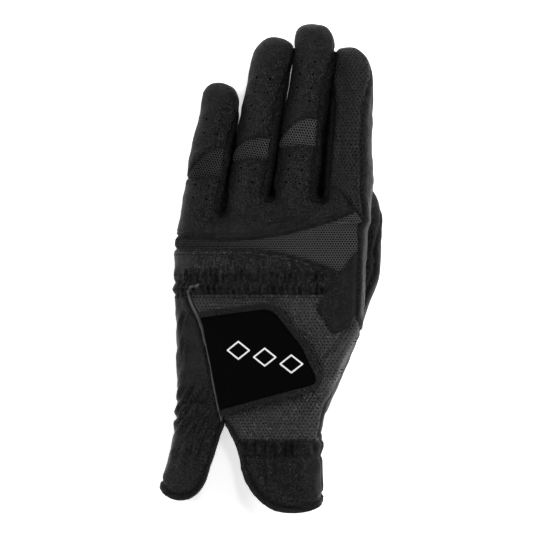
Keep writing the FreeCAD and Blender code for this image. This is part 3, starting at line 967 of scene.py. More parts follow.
@dataclass(frozen=True)
class Finish:
    """Procedural material.

    Attributes:
        name: Name of the material.
        colour: Linear RGB.
        roughness: Roughness of the surface.
        pattern: The fine relief.
        depth: Strength of the relief.
        sheen: Weight of the fabric sheen.
        specular: Level of the mirror-like part.
        glow: Light that the surface gives off.
        hole: Tone of its pin holes, as a share of the colour.
    """

    name: str
    colour: tuple[float, float, float]
    roughness: float
    pattern: Pattern
    depth: float = 0.3
    sheen: float = 0.0
    specular: float = 0.5
    glow: float = 0.0
    hole: float = 0.2

    def make(self) -> bpy.types.Material:
        """Makes the material on first use.

        Returns:
            The material, which all pieces of this finish share.
        """
        if self.name in bpy.data.materials:
            return bpy.data.materials[self.name]
        material = bpy.data.materials.new(self.name)
        material.use_nodes = True
        nodes, links = material.node_tree.nodes, material.node_tree.links
        shader = nodes["Principled BSDF"]
        shader.inputs["Base Color"].default_value = (*self.colour, 1)
        shader.inputs["Roughness"].default_value = self.roughness
        shader.inputs["Sheen Weight"].default_value = self.sheen
        shader.inputs["Specular IOR Level"].default_value = self.specular
        shader.inputs["Emission Color"].default_value = (1, 1, 1, 1)
        shader.inputs["Emission Strength"].default_value = self.glow
        if self.pattern is Pattern.PLAIN:
            return material
        graph = Graph(nodes, links, shader, nodes.new("ShaderNodeTexCoord"))
        bump = nodes.new("ShaderNodeBump")
        bump.inputs["Strength"].default_value = self.depth
        bump.inputs["Distance"].default_value = RELIEF
        links.new(bump.outputs["Normal"], shader.inputs["Normal"])
        links.new(getattr(self, f"_{self.pattern.value}")(graph), bump.inputs["Height"])
        return material

    def _grain(self, graph: Graph) -> Socket:
        """Leather: fine cells over soft creases, with uneven polish.

        Args:
            graph: The material's nodes.

        Returns:
            Height of the relief.
        """
        source = graph.place.outputs["Object"]
        cells = graph.nodes.new("ShaderNodeTexVoronoi")
        cells.feature = "DISTANCE_TO_EDGE"
        cells.inputs["Scale"].default_value = 1000.0
        graph.links.new(source, cells.inputs["Vector"])
        edge = graph.spread(cells.outputs["Distance"], 0.0, 3.0)
        soft = graph.noise(source, 620.0, 5.0)
        polish = graph.noise(source, 60.0, 3.0)
        graph.links.new(graph.spread(polish, self.roughness - POLISH, self.roughness + POLISH),
                        graph.shader.inputs["Roughness"])
        return graph.mixed(edge, soft, 0.6)

    def _holes(self, graph: Graph, pitch: float, rim: tuple[float, float],
               tones: tuple[float, float]) -> Socket:
        """Colours a lattice of holes.

        Args:
            graph: The material's nodes.
            pitch: Distance between holes, in millimetres.
            rim: Where a hole's rim begins and ends, as shares of the pitch.
            tones: Tone in a hole and between holes, as shares of the colour.

        Returns:
            Height of the relief: 0 in a hole and 1 between holes.
        """
        away = graph.lattice(pitch)
        edge = graph.nodes.new("ShaderNodeMapRange")
        edge.inputs["From Min"].default_value, edge.inputs["From Max"].default_value = rim
        graph.links.new(away, edge.inputs["Value"])
        tone = graph.nodes.new("ShaderNodeMix")
        tone.data_type = "RGBA"
        tone.inputs["A"].default_value = (*(c * tones[0] for c in self.colour), 1)
        tone.inputs["B"].default_value = (*(c * tones[1] for c in self.colour), 1)
        graph.links.new(edge.outputs["Result"], tone.inputs["Factor"])
        graph.links.new(tone.outputs["Result"], graph.shader.inputs["Base Color"])
        graph.links.new(graph.spread(edge.outputs["Result"], 0.0, self.specular),
                        graph.shader.inputs["Specular IOR Level"])
        return edge.outputs["Result"]

    def _knit(self, graph: Graph) -> Socket:
        """Open knit with small dark holes, and painted shade that darkens it towards the little
        finger's side.

        Args:
            graph: The material's nodes.

        Returns:
            Height of the relief.
        """
        relief = self._holes(graph, 1.25, (0.2, 0.42), (0.05, 1.3))
        split = graph.split(graph.place.outputs["Object"])
        # painted shade: the knit's colour grows darker towards the little finger's side, where the
        # band lies in shadow
        painted_shade = graph.nodes.new("ShaderNodeMapRange")
        painted_shade.inputs["From Min"].default_value, painted_shade.inputs["From Max"].default_value = -0.035, 0.012
        painted_shade.inputs["To Min"].default_value = 0.22
        graph.links.new(split.outputs["X"], painted_shade.inputs["Value"])
        share = graph.maths("MULTIPLY", relief, painted_shade.outputs["Result"])
        tone = graph.shader.inputs["Base Color"].links[0].from_node
        graph.links.new(share, tone.inputs["Factor"])
        return relief

    def _pinholes(self, graph: Graph) -> Socket:
        """Leather with fine pin holes."""
        dots = self._holes(graph, 1.75, (0.1, 0.2), (self.hole, 1.0))
        return graph.mixed(self._grain(graph), dots, 0.35)

    def _nap(self, graph: Graph) -> Socket:
        """Brushed microfibre."""
        return graph.noise(graph.place.outputs["Object"], 2600.0, 3.0)

    def _weave(self, graph: Graph) -> Socket:
        """Plain woven tape or twisted thread."""
        checks = graph.nodes.new("ShaderNodeTexWave")
        checks.inputs["Scale"].default_value = 900.0
        graph.links.new(graph.place.outputs["Object"], checks.inputs["Vector"])
        return checks.outputs["Fac"]


def grey(level: float) -> tuple[float, float, float]:
    """Neutral colour of a level."""
    return (level, level, level)


FINISHES: dict[Slot, Finish] = {
    Slot.LEATHER: Finish("Black leather", grey(0.004), 0.4, Pattern.GRAIN, 0.8, specular=0.27),
    Slot.PERFORATED: Finish("Perforated leather", grey(0.004), 0.39, Pattern.GRAIN, 0.8,
                            specular=0.27),
    Slot.SIDE: Finish("Side leather", grey(0.002), 0.46, Pattern.GRAIN, 0.7, specular=0.17),
    Slot.GRIP: Finish("Grip leather", grey(0.005), 0.5, Pattern.GRAIN, 0.8, specular=0.27),
    Slot.MESH: Finish("Knit mesh", grey(0.042), 0.7, Pattern.KNIT, 0.9, specular=0.5),
    Slot.ELASTIC: Finish("Elastic tape", grey(0.01), 0.8, Pattern.WEAVE, 0.5, specular=0.2),
    Slot.MICROFIBRE: Finish("Microfibre", grey(0.0016), 0.95, Pattern.NAP, 0.5, specular=0.06),
    Slot.BINDING: Finish("Leather binding", grey(0.003), 0.4, Pattern.GRAIN, 0.6, specular=0.26),
    Slot.HOOK: Finish("Hook tape", grey(0.02), 0.6, Pattern.NAP, 1.0),
    Slot.LOOP: Finish("Loop tape", grey(0.02), 0.95, Pattern.NAP, 1.0, sheen=0.2),
    Slot.THREAD: Finish("White thread", grey(0.72), 0.6, Pattern.WEAVE, 0.3),
}
STITCH = Finish("Black thread", grey(0.004), 0.6, Pattern.PLAIN, specular=0.25)
RAW_EDGE = Finish("Raw leather edge", grey(0.09), 0.8, Pattern.NAP, 0.8)
# painted highlight: the base colour is lifted well above the other black leathers so the perforated
# back reads lighter; the pin holes themselves are real
PINHOLE = Finish("Pin-hole leather", grey(0.018), 0.38, Pattern.PINHOLES, 1.0, hole=0.1)
GATHERED = Finish("Gathered leather", grey(0.005), 0.33, Pattern.GRAIN, 1.0, specular=0.42)
EDGE_THREAD = Finish("Grey thread", grey(0.12), 0.7, Pattern.PLAIN, specular=0.3)
FINE_HOLES = Finish("Fine-hole leather", grey(0.004), 0.4, Pattern.PINHOLES, 0.8, specular=0.3,
                    hole=0.45)
FLOOR = Finish("Pale floor", grey(0.9), 0.9, Pattern.PLAIN, specular=0.1, glow=0.5)


@dataclass
class Motion:
    """The body that carries a piece, or the two bodies that it lies between."""

    body: str
    child: Optional[str] = None
    start: Optional[Array] = None
    end: Optional[Array] = None

    def apply(self, obj: bpy.types.Object) -> None:
        """Attaches the piece to its body; a piece between two bodies only has its place baked into
        its mesh.
        """
        if self.child is None:
            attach(obj, self.body)
        else:
            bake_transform(obj)


@dataclass(frozen=True)
class Cloth:
    """A piece's flat cut, in millimetres, and how it is held."""

    flat: tuple[float, float]
    area: float
    held: str
    rests_on: tuple[str, ...] = ()

    def declare(self, obj: bpy.types.Object) -> None:
        """Does nothing: the piece is not declared to the frame as a sheet."""


CLOTHS: dict[str, Cloth] = {
    "Panel_knuckle_band_mesh": Cloth((106.0, 32.0), 1200.0, "stretched", ("back_knuckle_leather",)),
    "Panel_little_flex_insert": Cloth((20.0, 14.0), 215.0, "stretched", ("little_base_back",)),
    "Panel_ring_flex_insert": Cloth((21.0, 12.0), 220.0, "stretched", ("ring_base_back",)),
    "Panel_middle_flex_insert": Cloth((22.0, 14.0), 255.0, "stretched", ("middle_base_back",)),
    "Panel_back_shirred_leather": Cloth((118.0, 26.0), 2300.0, "gathered", ("back_elastic",)),
    "Patch_back_elastic": Cloth((58.0, 12.5), 725.0, "stretched", ("back_shirred_leather",)),
    "Patch_cuff_elastic": Cloth((20.0, 10.0), 150.0, "stretched", ("back_perforated_leather",)),
    "Patch_palm_elastic": Cloth((46.0, 10.0), 300.0, "stretched", ("palm_leather",)),
    "Patch_loop_pad": Cloth((36.0, 42.0), 1050.0, "laid", ("back_perforated_leather",)),
    "Tab_face": Cloth((53.0, 54.0), 1900.0, "laid", ("loop_pad",)),
    "Tab_hooks": Cloth((25.0, 34.0), 480.0, "laid", ("loop_pad",)),
}


def finish_piece(obj: bpy.types.Object, finish: Finish, motion: Motion,
                 nodes: Sequence[str] = ()) -> bpy.types.Object:
    """Brings a piece to metres, gives it its material and motion, and hides its CAD nodes.

    Args:
        obj: The piece, in millimetres.
        finish: Its look.
        motion: The bodies that carry it.
        nodes: The CAD nodes that it stands for.

    Returns:
        The piece.
    """
    obj.data.transform(Matrix.Scale(1 / MM, 4))
    obj.data.materials.clear()
    obj.data.materials.append(finish.make())
    if nodes:
        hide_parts(*nodes)
    motion.apply(obj)
    if obj.name in CLOTHS:
        CLOTHS[obj.name].declare(obj)
    return obj


# ---- the glove ----------------------------------------------------------------------------------
@dataclass
class CuffSpec:
    """Plan outlines of the split cuff and its slit, in the row frame's millimetres."""

    flap: tuple[tuple[float, float], ...] = (
        (-23.4, -75.5), (-25.6, -80.0), (-28.1, -88.5), (-31.0, -98.0), (-33.6, -104.4),
        (-37.2, -109.2), (-42.4, -112.0), (-48.4, -112.0), (-53.0, -109.4), (-56.0, -104.0),
        (-58.5, -96.0), (-64.0, -84.0))
    lobe: tuple[tuple[float, float], ...] = (
        (-23.4, -75.5), (-21.0, -79.0), (-17.0, -88.3), (-15.0, -97.6), (-12.2, -104.6),
        (-7.6, -110.8), (-1.0, -115.8), (6.0, -117.6), (15.0, -117.3), (21.6, -115.2),
        (25.4, -111.0), (28.5, -104.0), (36.0, -92.0))
    slit: tuple[tuple[float, float], ...] = (
        (-23.4, -75.5), (-26.6, -62.0), (-30.2, -43.0), (-34.4, -26.5), (-38.3, -18.4),
        (-40.0, -13.2), (-38.9, -10.2), (-35.0, -9.0))
    beyond: tuple[tuple[float, float], ...] = (
        (60.0, -60.0), (90.0, 140.0), (-90.0, 140.0), (-90.0, -60.0))  # round the rest of the hand
    slit_half: float = 0.55
    binding: float = 2.3


class GloveForm:
    """The glove's whole skin, with the fields that say where its seams run."""

    def __init__(self) -> None:
        """Lays the glove out on the frame's joints."""
        self.hand = Hand(HandSpec())
        self.cuff = CuffSpec()
        self.fingers = [self._finger(spec) for spec in FINGERS]
        self.thumb, self.gusset = self._thumb()
        flap, lobe = round_corners(self.cuff.flap), round_corners(self.cuff.lobe)
        self.hem = np.vstack([flap[::-1], lobe[1:], self.cuff.beyond])
        self.slit = round_corners(self.cuff.slit)
        self.surface = self._merge()

    def _finger(self, spec: DigitSpec) -> Digit:
        """A finger between its two hinges, as long as its CAD fingertip.

        Args:
            spec: Sizes of the finger.

        Returns:
            The finger, laid out on its joints.
        """
        root, fold = joint_point(f"{spec.name}_knuckle"), joint_point(f"{spec.name}_middle_fold")
        x = -np.array(joint(f"{spec.name}_knuckle")["axis"], float)
        y = unit(fold - root)
        base = LocalFrame(root, np.array([x, y, np.cross(x, y)]))
        tip = base.tilted(fold, spec.fold)
        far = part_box(f"{spec.name}_tip_palm")[1].y * MM
        reach = (far - fold[1] - spec.heights[2] / 2 * tip.axes[2][1]) / tip.axes[1][1]
        return Digit(spec, base, tip, reach)

    def _thumb(self) -> tuple[Digit, Gusset]:
        """The thumb and its gusset, from the thumb's hinges."""
        axes = turned(THUMB_LEANS[0])
        side = np.array([THUMB.widths[0] / 2, 0, THUMB.heights[0] / 2])
        origin = joint_point("thumb_swing") - side @ axes
        base = LocalFrame(origin, axes)
        fold = origin + axes[1] * THUMB_LENGTH
        tip = LocalFrame(fold, turned(THUMB_LEANS[1]))
        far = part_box("thumb_tip_palm")[1].y * MM
        reach = (far - fold[1]) / tip.axes[1][1] + THUMB_EXTRA
        spec = GussetSpec()
        return Digit(THUMB, base, tip, reach), Gusset(spec, origin - np.array(spec.root))

    def _merge(self) -> Surface:
        """One smooth closed form of the hand, fingers, gusset and thumb."""
        parts = [tube("Form_hand", self.hand.rings()), tube("Form_gusset", self.gusset.rings())]
        parts += [tube(f"Form_{d.spec.name}", d.rings(-15.0, PINCH)) for d in self.fingers]
        parts.append(tube("Form_thumb", self.thumb.rings(-7.0, PINCH)))
        select_only(parts[0])
        for obj in parts:
            obj.select_set(True)
        bpy.ops.object.join()
        form = bpy.context.object
        form.data.remesh_voxel_size = VOXEL
        bpy.ops.object.voxel_remesh()
        surface = Surface.of(form)
        surface.relax(4)
        where = self.hand.frame.local(surface.points)[:, 1]
        crotch = smoothstep((where - 14) / 8) * smoothstep((46 - where) / 6)
        surface.relax(10, crotch)
        grown = np.zeros(len(surface.points))
        for digit in (*self.fingers, self.thumb):
            grown = np.maximum(grown, self.on_digit(digit, surface.points)
                               * smoothstep((digit.local(surface.points)[:, 1] + 2) / 8))
        surface.points = surface.points + surface.normals() * (grown * PINCH + 0.12)[:, None]
        return surface

    def on_digit(self, digit: Digit, points: Array, start: float = -8.0) -> Array:
        """Whether points belong to a digit's tube.

        Args:
            digit: The finger or thumb.
            points: Points in the row frame.
            start: Distance from the root hinge at which it begins.

        Returns:
            One truth value for each point.
        """
        q = digit.local(points)
        width, height = digit.sizes(q[:, 1])
        near = (np.abs(q[:, 0]) < width / 2 + 1.3) & (q[:, 2] > -3.0) & (q[:, 2] < height + 3.0)
        chosen = near & (q[:, 1] > start)
        if digit is self.thumb:
            chosen &= (self.hand.frame.local(points)[:, 2] < -0.4) & (q[:, 1] < digit.length + 1.5)
        mine = digit.radius(q)
        for other in (*self.fingers, self.thumb):
            if other is not digit:
                chosen &= mine <= other.radius(other.local(points))
        return chosen

    # fields; each is zero on a seam, in millimetres
    def seam(self, points: Array, upper: bool) -> Array:
        """Height above the upper or lower seam of the side walls.

        Args:
            points: Points in the row frame.
            upper: Whether the upper seam is meant.

        Returns:
            The field's values.
        """
        q = self.hand.frame.local(points)
        high = self.hand.spec.seam_high - 6.0 * smoothstep((-20.0 - q[:, 0]) / 12.0)
        rise = 1.8 - 11.0 * smoothstep((-21.0 - q[:, 1]) / 13.0)
        high = high + smoothstep((q[:, 0] - 20.0) / 12.0) * rise
        value = q[:, 2] - (high if upper else self.hand.spec.seam_low)
        for digit in self.fingers:
            d = digit.local(points)
            level = digit.seam_heights(d[:, 0], d[:, 1])[0 if upper else 1]
            share = smoothstep((d[:, 1] + 5.0) / 8.0)
            changed = value + (d[:, 2] - level - value) * share
            value = np.where(self.on_digit(digit, points), changed, value)
        d = self.thumb.local(points)
        level = self.thumb.seam_heights(d[:, 0], d[:, 1])[0 if upper else 1]
        return np.where(self.on_digit(self.thumb, points, -2.0), d[:, 2] - level, value)

    def knuckle_line(self, points: Array) -> Array:
        """Distance above the knuckle band's upper seam."""
        q = self.hand.frame.local(points)
        return q[:, 1] - (15.0 + 0.07 * q[:, 0] + 0.0034 * (q[:, 0] + 8.0) ** 2)

    def band_line(self, points: Array) -> Array:
        """Distance above the knuckle band's lower seam."""
        q = self.hand.frame.local(points)
        return q[:, 1] - (10.5 - 0.0042 * np.maximum(q[:, 0] + 15.0, 0.0) ** 2)

    def shirr_line(self, points: Array) -> Array:
        """Distance above the seam below the gathered leather."""
        return self.hand.frame.local(points)[:, 1] + 12.0

    def hem_line(self, points: Array) -> Array:
        """Distance outside the cuff's plan outline."""
        return signed_distance(points[:, :2], self.hem)

    def slit_line(self, points: Array) -> Array:
        """Distance from the slit's middle line."""
        return distance_to_line(points[:, :2], self.slit)

    def slit_side(self, points: Array) -> Array:
        """Positive to the right of the slit's line."""
        x = np.interp(points[:, 1], self.slit[:, 1], self.slit[:, 0])
        return points[:, 0] - x


# ---- panels -------------------------------------------------------------------------------------
LEATHER_THICK = 1.0
BINDING_THICK = 1.6
BINDING_BEVEL = 0.35
SKIRT_TOP = -81.8  # Y of the cuff's lower gathered seam, in the hand's flat frame
GUSSET_TOP = 16.0  # the gusset ends below this height on the hand
EDGE_WIDTH = 0.9  # raw edge beside the slit
HOLE_RADIUS = 0.52  # air holes of the fingers' backs
HOLE_PLACES = (-3.8, 3.0)  # where the two rows of air holes run across a finger
DIGIT_WALLS = {"back": "upper", "palm": "lower", "left": "side", "right": "side"}
HAND_FAMILIES = {
    "back_shirred_leather": "low_back", "back_perforated_leather": "low_back",
    "back_cuff_flap": "low_back", "cuff_skirt": "low_back",
    "back_knuckle_leather": "upper", "little_edge_leather": "side", "index_edge_leather": "side",
    "palm_leather": "lower", "web_little_ring": "side", "web_ring_middle": "side",
    "web_middle_index": "side"}
HAND_SLOTS = {
    "back_knuckle_leather": Slot.PERFORATED, "knuckle_band_mesh": Slot.MESH,
    "back_perforated_leather": Slot.PERFORATED, "cuff_flap_binding": Slot.BINDING,
    "cuff_back_binding": Slot.BINDING, "cuff_palm_binding": Slot.BINDING,
    "web_little_ring": Slot.SIDE, "web_ring_middle": Slot.SIDE, "web_middle_index": Slot.SIDE}

PANEL_FINISHES = {
    "back_perforated_leather": PINHOLE, "cuff_skirt": FINISHES[Slot.PERFORATED],
    "back_shirred_leather": GATHERED, "index_base_back": FINE_HOLES, "index_tip_back": FINE_HOLES,
    "slit_edge": RAW_EDGE}


@dataclass(frozen=True)
class GatherSpec:
    """A stretch of leather drawn together by elastic, in the hand's flat frame."""

    x: tuple[float, float]
    rows: tuple[float, ...]
    grooves: tuple[float, ...]
    reach: float
    height: float
    pitch: float
    slant: float = 0.0


GATHERS = (
    GatherSpec((-52.0, 33.0), (-3.2, -8.8), (-6.0, -11.8), 2.9, 1.7, 3.3),
    GatherSpec((-13.0, 34.0), (-85.6,), (SKIRT_TOP, -89.6), 3.4, 1.7, 4.6, 0.06),
    GatherSpec((-60.0, -36.0), (-24.0, -38.0, -50.0), (), 5.0, 0.5, 5.0, -0.3),
    GatherSpec((-13.0, 34.0), (-95.0,), (), 9.0, 0.5, 5.4, 0.1),
    GatherSpec((-60.0, -25.0), (-60.0, -68.0, -76.0), (-64.0, -72.0), 4.4, 0.9, 4.6, -0.6),
    GatherSpec((-60.0, -25.0), (-88.0,), (), 9.0, 0.5, 5.4, -0.25),
)


FOLDS = (  # lines of creases in the hand's flat frame, with their depth and half-width
    (((44.5, -24.0), (36.4, -34.0), (29.3, -43.0)), 0.8, 0.7),
    (((45.0, -33.0), (38.0, -44.0), (35.6, -52.0)), 0.5, 0.9),
    (((3.0, 22.5), (10.0, 24.4), (19.0, 23.0)), 0.45, 0.9),
    (((1.0, 27.0), (9.0, 28.6), (20.0, 27.4)), 0.4, 0.9),
    (((-20.0, 24.0), (-12.0, 26.0), (-4.0, 24.6)), 0.4, 0.9),
    (((-44.0, 14.0), (-36.0, 16.6), (-27.0, 15.4)), 0.35, 0.9),
    (((26.0, -62.0), (17.0, -71.0), (4.0, -76.0)), 0.45, 1.0),
)


class GloveSkin:
    """The skin cut into panels, creased at its seams, gathered and wrinkled."""

    def __init__(self, form: GloveForm) -> None:
        """Cuts, labels and shapes the surface."""
        self.form = form
        self.surface = form.surface
        self._cut()
        self.surface = self.surface.part(
            np.flatnonzero((form.hem_line(self.surface.centres()) < 0)
                           & ~self._in_slit(self.surface.centres())))
        self.labels = self._label(self.surface.centres())
        self._shape()
        self.panels = {name: self.surface.part(np.flatnonzero(self.labels == name))
                       for name in sorted(set(self.labels))}

    def _in_slit(self, points: Array) -> Array:
        """Whether points lie in the open slit."""
        form = self.form
        return ((form.slit_line(points) < form.cuff.slit_half) & (form.seam(points, True) > 0))

    def _cut(self) -> None:
        """Adds an edge along every seam and every joint between pieces."""
        form, surface = self.form, self.surface

        def on_back(p: Array) -> Array:
            """Whether points lie on the back, or just below its seam."""
            return form.seam(p, True) > -1.5

        surface.cut(lambda p: form.seam(p, True))
        surface.cut(lambda p: form.seam(p, False))
        for digit in (*form.fingers, form.thumb):
            on = partial(form.on_digit, digit, start=-22.0)
            surface.cut(lambda p: self._past_root(digit, p), on)
            if not digit.spec.insert:
                surface.cut(lambda p: digit.local(p)[:, 1] - digit.cut_mid, on)
                continue
            surface.cut(lambda p: digit.local(p)[:, 1] - digit.cut_mid,
                        lambda p: on(p) & (form.seam(p, True) < 0.8))
            for which in (0, 1):
                surface.cut(lambda p: self.past_edge(digit, which, p), lambda p: on(p) & on_back(p))
        surface.cut(lambda p: form.hand.frame.local(p)[:, 1] - SKIRT_TOP, on_back)
        surface.cut(form.gusset.field, lambda p: form.hand.frame.local(p)[:, 2] < GUSSET_TOP)
        for line in (form.knuckle_line, form.band_line, form.shirr_line):
            surface.cut(line, on_back)
        half = form.cuff.slit_half
        surface.cut(lambda p: form.slit_line(p) - half, on_back)
        surface.cut(lambda p: form.slit_line(p) - half - EDGE_WIDTH, on_back)
        surface.cut(form.hem_line)
        surface.cut(lambda p: form.hem_line(p) + form.cuff.binding)

    def past_edge(self, digit: Digit, which: int, points: Array) -> Array:
        """Distance beyond an insert's lower or upper edge."""
        d = digit.local(points)
        return d[:, 1] - digit.spec.edge(which, d[:, 0])

    def _past_root(self, digit: Digit, points: Array) -> Array:
        """Distance beyond a digit's root, which the index finger's back takes down its side."""
        d = digit.local(points)
        bow = 0.05 * np.maximum(d[:, 0] + 9.0, 0) ** 2 * (self.form.seam(points, True) > -0.1)
        return d[:, 1] - digit.cut_low + (bow if digit.spec.name == "index" else 0.0)

    def _label(self, points: Array) -> Array:
        """Name of the panel that each point belongs to.

        Args:
            points: Middles of the faces before they were shaped.

        Returns:
            One name for each point.
        """
        form = self.form
        q = form.hand.frame.local(points)
        x, y = q[:, 0], q[:, 1]
        left, right, _ = form.hand.section(y)
        upper, lower = form.seam(points, True) > 0, form.seam(points, False) < 0
        on_left = x < (left + right) / 2
        names = np.where(on_left, "little_edge_leather", "index_edge_leather").astype(object)
        front = (y > 17) & (x > left + 8) & (x < right - 8)
        roots = [d.base.local(points)[:, 0] for d in form.fingers]
        names[front & (roots[3] > -30)] = "web_middle_index"
        names[front & (roots[2] < 0)] = "web_ring_middle"
        names[front & (roots[1] < 0)] = "web_little_ring"
        names[lower] = "palm_leather"
        on_flap = form.slit_side(points) < 0
        back = np.where(on_flap, "back_cuff_flap", "back_perforated_leather").astype(object)
        back[(y < SKIRT_TOP) & (form.slit_side(points) > 0)] = "cuff_skirt"
        back[form.shirr_line(points) > 0] = "back_shirred_leather"
        back[form.band_line(points) > 0] = "knuckle_band_mesh"
        back[form.knuckle_line(points) > 0] = "back_knuckle_leather"
        names[upper] = back[upper]
        near = (form.slit_line(points) < form.cuff.slit_half + EDGE_WIDTH) & upper
        names[near & (form.slit_side(points) < 0)] = "slit_edge"
        on_gusset = (form.gusset.field(points) < 0) & (q[:, 2] < GUSSET_TOP)
        names[on_gusset] = "thumb_gusset"
        hem = (form.hem_line(points) > -form.cuff.binding) & (y < -60)
        names[hem & upper & (form.slit_side(points) < 0)] = "cuff_flap_binding"
        names[hem & upper & (form.slit_side(points) >= 0)] = "cuff_back_binding"
        names[hem & ~upper] = "cuff_palm_binding"
        for digit in (*form.fingers, form.thumb):
            d = digit.local(points)
            on = form.on_digit(digit, points, -22.0) & (self._past_root(digit, points) > 0)
            side = np.where(d[:, 0] < 0, "left", "right")
            wall = np.where(upper, "back", np.where(lower, "palm", side))
            outer = d[:, 1] > digit.cut_mid
            if digit.spec.insert:
                outer = np.where(wall == "back", self.past_edge(digit, 1, points) > 0, outer)
            half = np.where(outer, "tip", "base")
            found = np.array([f"{digit.spec.name}_{h}_{w}" for h, w in zip(half, wall)], object)
            if digit.spec.insert:
                found[(wall == "back") & ~outer & (self.past_edge(digit, 0, points) > 0)
                      ] = f"{digit.spec.name}_flex_insert"
            names[on] = found[on]
        return names

    def family(self, name: str) -> str:
        """Group of panels that meet without a visible seam."""
        if name.startswith("thumb_"):
            return "thumb_" + name.rsplit("_", 1)[1] if name != "thumb_gusset" else name
        if name.startswith("index_") and name.endswith("_back"):
            return "index_back"
        if name in HAND_FAMILIES:
            return HAND_FAMILIES[name]
        return DIGIT_WALLS.get(name.rsplit("_", 1)[1], name)

    def _seam_points(self) -> Array:
        """Indices of the points on visible seams."""
        families = {name: self.family(name) for name in set(self.labels)}
        owner: dict[tuple[int, int], str] = {}
        seams: set[int] = set()
        for face, name in zip(self.surface.faces, self.labels):
            group = families[name]
            for a, b in zip(face, face[1:] + face[:1]):
                key = (min(a, b), max(a, b))
                if owner.setdefault(key, group) != group:
                    seams.update(key)
        return np.array(sorted(seams))

    def _gathers(self, points: Array) -> Array:
        """Height of the puckers where elastic draws the leather together."""
        q = self.form.hand.frame.local(points)
        x, y = q[:, 0], q[:, 1]
        upper = smoothstep((q[:, 2] - 6.0) / 6.0)
        height = np.zeros(len(points))
        wander = 2.4 * ripple(np.stack([x, y * 0.35, 0 * x], axis=1), 6.0, 2.9)
        for i, spec in enumerate(GATHERS):
            fade = smoothstep((x - spec.x[0]) / 4) * smoothstep((spec.x[1] - x) / 4) * upper
            for k, row in enumerate(spec.rows):
                chosen = fade * np.exp(-((y - row) / spec.reach) ** 2)
                turns = (x + wander + spec.slant * (y - row)) / spec.pitch + 0.37 * k
                folds = 1.5 * np.abs(np.sin(math.pi * turns)) ** 1.3 - 0.5
                uneven = 1.0 + 1.2 * ripple(np.stack([x, y, 0 * x], axis=1), 5.0, 5.0 + i + 7 * k)
                uneven = np.clip(uneven, 0.25, 1.45)
                height += spec.height * chosen * folds * uneven
            for row in spec.grooves:
                height -= 0.7 * fade * np.exp(-((y - row) / 0.8) ** 2)
        return height

    def _creases(self, points: Array) -> Array:
        """Height of the folds that wear leaves, and of the hollow above the tab."""
        q = self.form.hand.frame.local(points)
        upper = smoothstep((q[:, 2] - 6.0) / 6.0)
        x, y = q[:, 0], q[:, 1]
        lift = -1.1 * upper * np.exp(-((x + 20.0) / 13.0) ** 2 - ((y + 14.2) / 2.2) ** 2)
        chevron = fillet(PATCHES[0].corners, PATCHES[0].radii)
        rim = distance_to_line(q[:, :2], chevron, closed=True)
        lift -= 0.7 * upper * np.exp(-(rim / 0.9) ** 2)
        for line, depth, reach in FOLDS:
            far = distance_to_line(q[:, :2], round_corners(line))
            ridge = 0.6 * np.exp(-((far - 2.0) / 1.3) ** 2)
            lift += depth * upper * (ridge - np.exp(-(far / reach) ** 2))
        return lift

    def _shape(self) -> None:
        """Creases the seams, gathers the elastic rows and wrinkles the leather."""
        surface = self.surface
        seams = self._seam_points()
        tree = KDTree(len(seams))
        for i in seams:
            tree.insert(surface.points[i], int(i))
        tree.balance()
        away = np.array([tree.find(p)[2] for p in surface.points])
        lift = 0.35 * np.exp(-((away - 2.6) / 1.6) ** 2) - 0.68 * np.exp(-(away / 0.8) ** 2)
        lift += 0.5 * ripple(surface.points, 13.0, 3.7) + 0.34 * ripple(surface.points, 5.0, 9.1)
        lift += self._creases(surface.points)
        lift += self._gathers(surface.points)
        beside = np.exp(-(self.form.slit_line(surface.flat) / 3.0) ** 2)
        on_flap = self.form.slit_side(surface.flat) < 0
        lift += 0.9 * beside * on_flap * (self.form.seam(surface.flat, True) > 0)
        surface.points = surface.points + surface.normals() * lift[:, None]
        surface.points[:, 2] = np.maximum(surface.points[:, 2], 0.06)

    def digit_of(self, name: str) -> Optional[Digit]:
        """The digit that a panel is on."""
        digits = {d.spec.name: d for d in (*self.form.fingers, self.form.thumb)}
        return None if name == "thumb_gusset" else digits.get(name.split("_")[0]) if (
            "_base_" in name or "_tip_" in name or name.endswith("_insert")) else None

    def motion(self, name: str) -> Motion:
        """How a panel moves."""
        digit = self.digit_of(name)
        if digit is None:
            return Motion("hand")
        label = digit.spec.name
        height = digit.spec.heights[0] / 2
        if "_base_" in name:
            return Motion("hand", f"{label}_base", digit.base.row((0, BEND_START, height)),
                          digit.base.row((0, BEND_END, height)))
        return Motion(f"{label}_base", f"{label}_tip",
                      digit.base.row((0, digit.first - FOLD_HALF, height)),
                      digit.tip.row((0, FOLD_HALF, height)))

    def pattern(self, name: str, surface: Surface) -> Array:
        """Pattern coordinates of a panel in millimetres, for its material."""
        digit = self.digit_of(name)
        q = self.form.hand.frame.local(surface.flat) if digit is None else digit.local(surface.flat)
        return q[:, :2]

    def nodes(self, name: str) -> list[str]:
        """CAD nodes that a panel stands for."""
        if name.endswith(("_base_left", "_tip_left")):
            return [name.replace("_left", "_side_walls")]
        return [name] if name in frame["nodes"] else []

    def slot(self, name: str) -> Slot:
        """Material slot of a panel."""
        if name in HAND_SLOTS:
            return HAND_SLOTS[name]
        if name.endswith("_flex_insert"):
            return Slot.MESH
        if name.endswith(("_base_back", "_tip_back")):
            return Slot.PERFORATED
        outer = name.startswith("index_") and name.endswith("_right")
        if name.endswith(("_left", "_right")) and not name.startswith("thumb") and not outer:
            return Slot.SIDE
        return Slot.LEATHER

    def build(self) -> None:
        """Makes every panel."""
        for name, surface in self.panels.items():
            obj = surface.object(f"Panel_{name}", self.pattern(name, surface))
            if "binding" in name:
                thicken(obj, BINDING_THICK, bevel=BINDING_BEVEL)
            else:
                thicken(obj, LEATHER_THICK)
            self._perforate(name, obj)
            slot = self.slot(name)
            finish = PANEL_FINISHES.get(name, FINISHES[slot])
            finish_piece(obj, finish, self.motion(name), self.nodes(name))

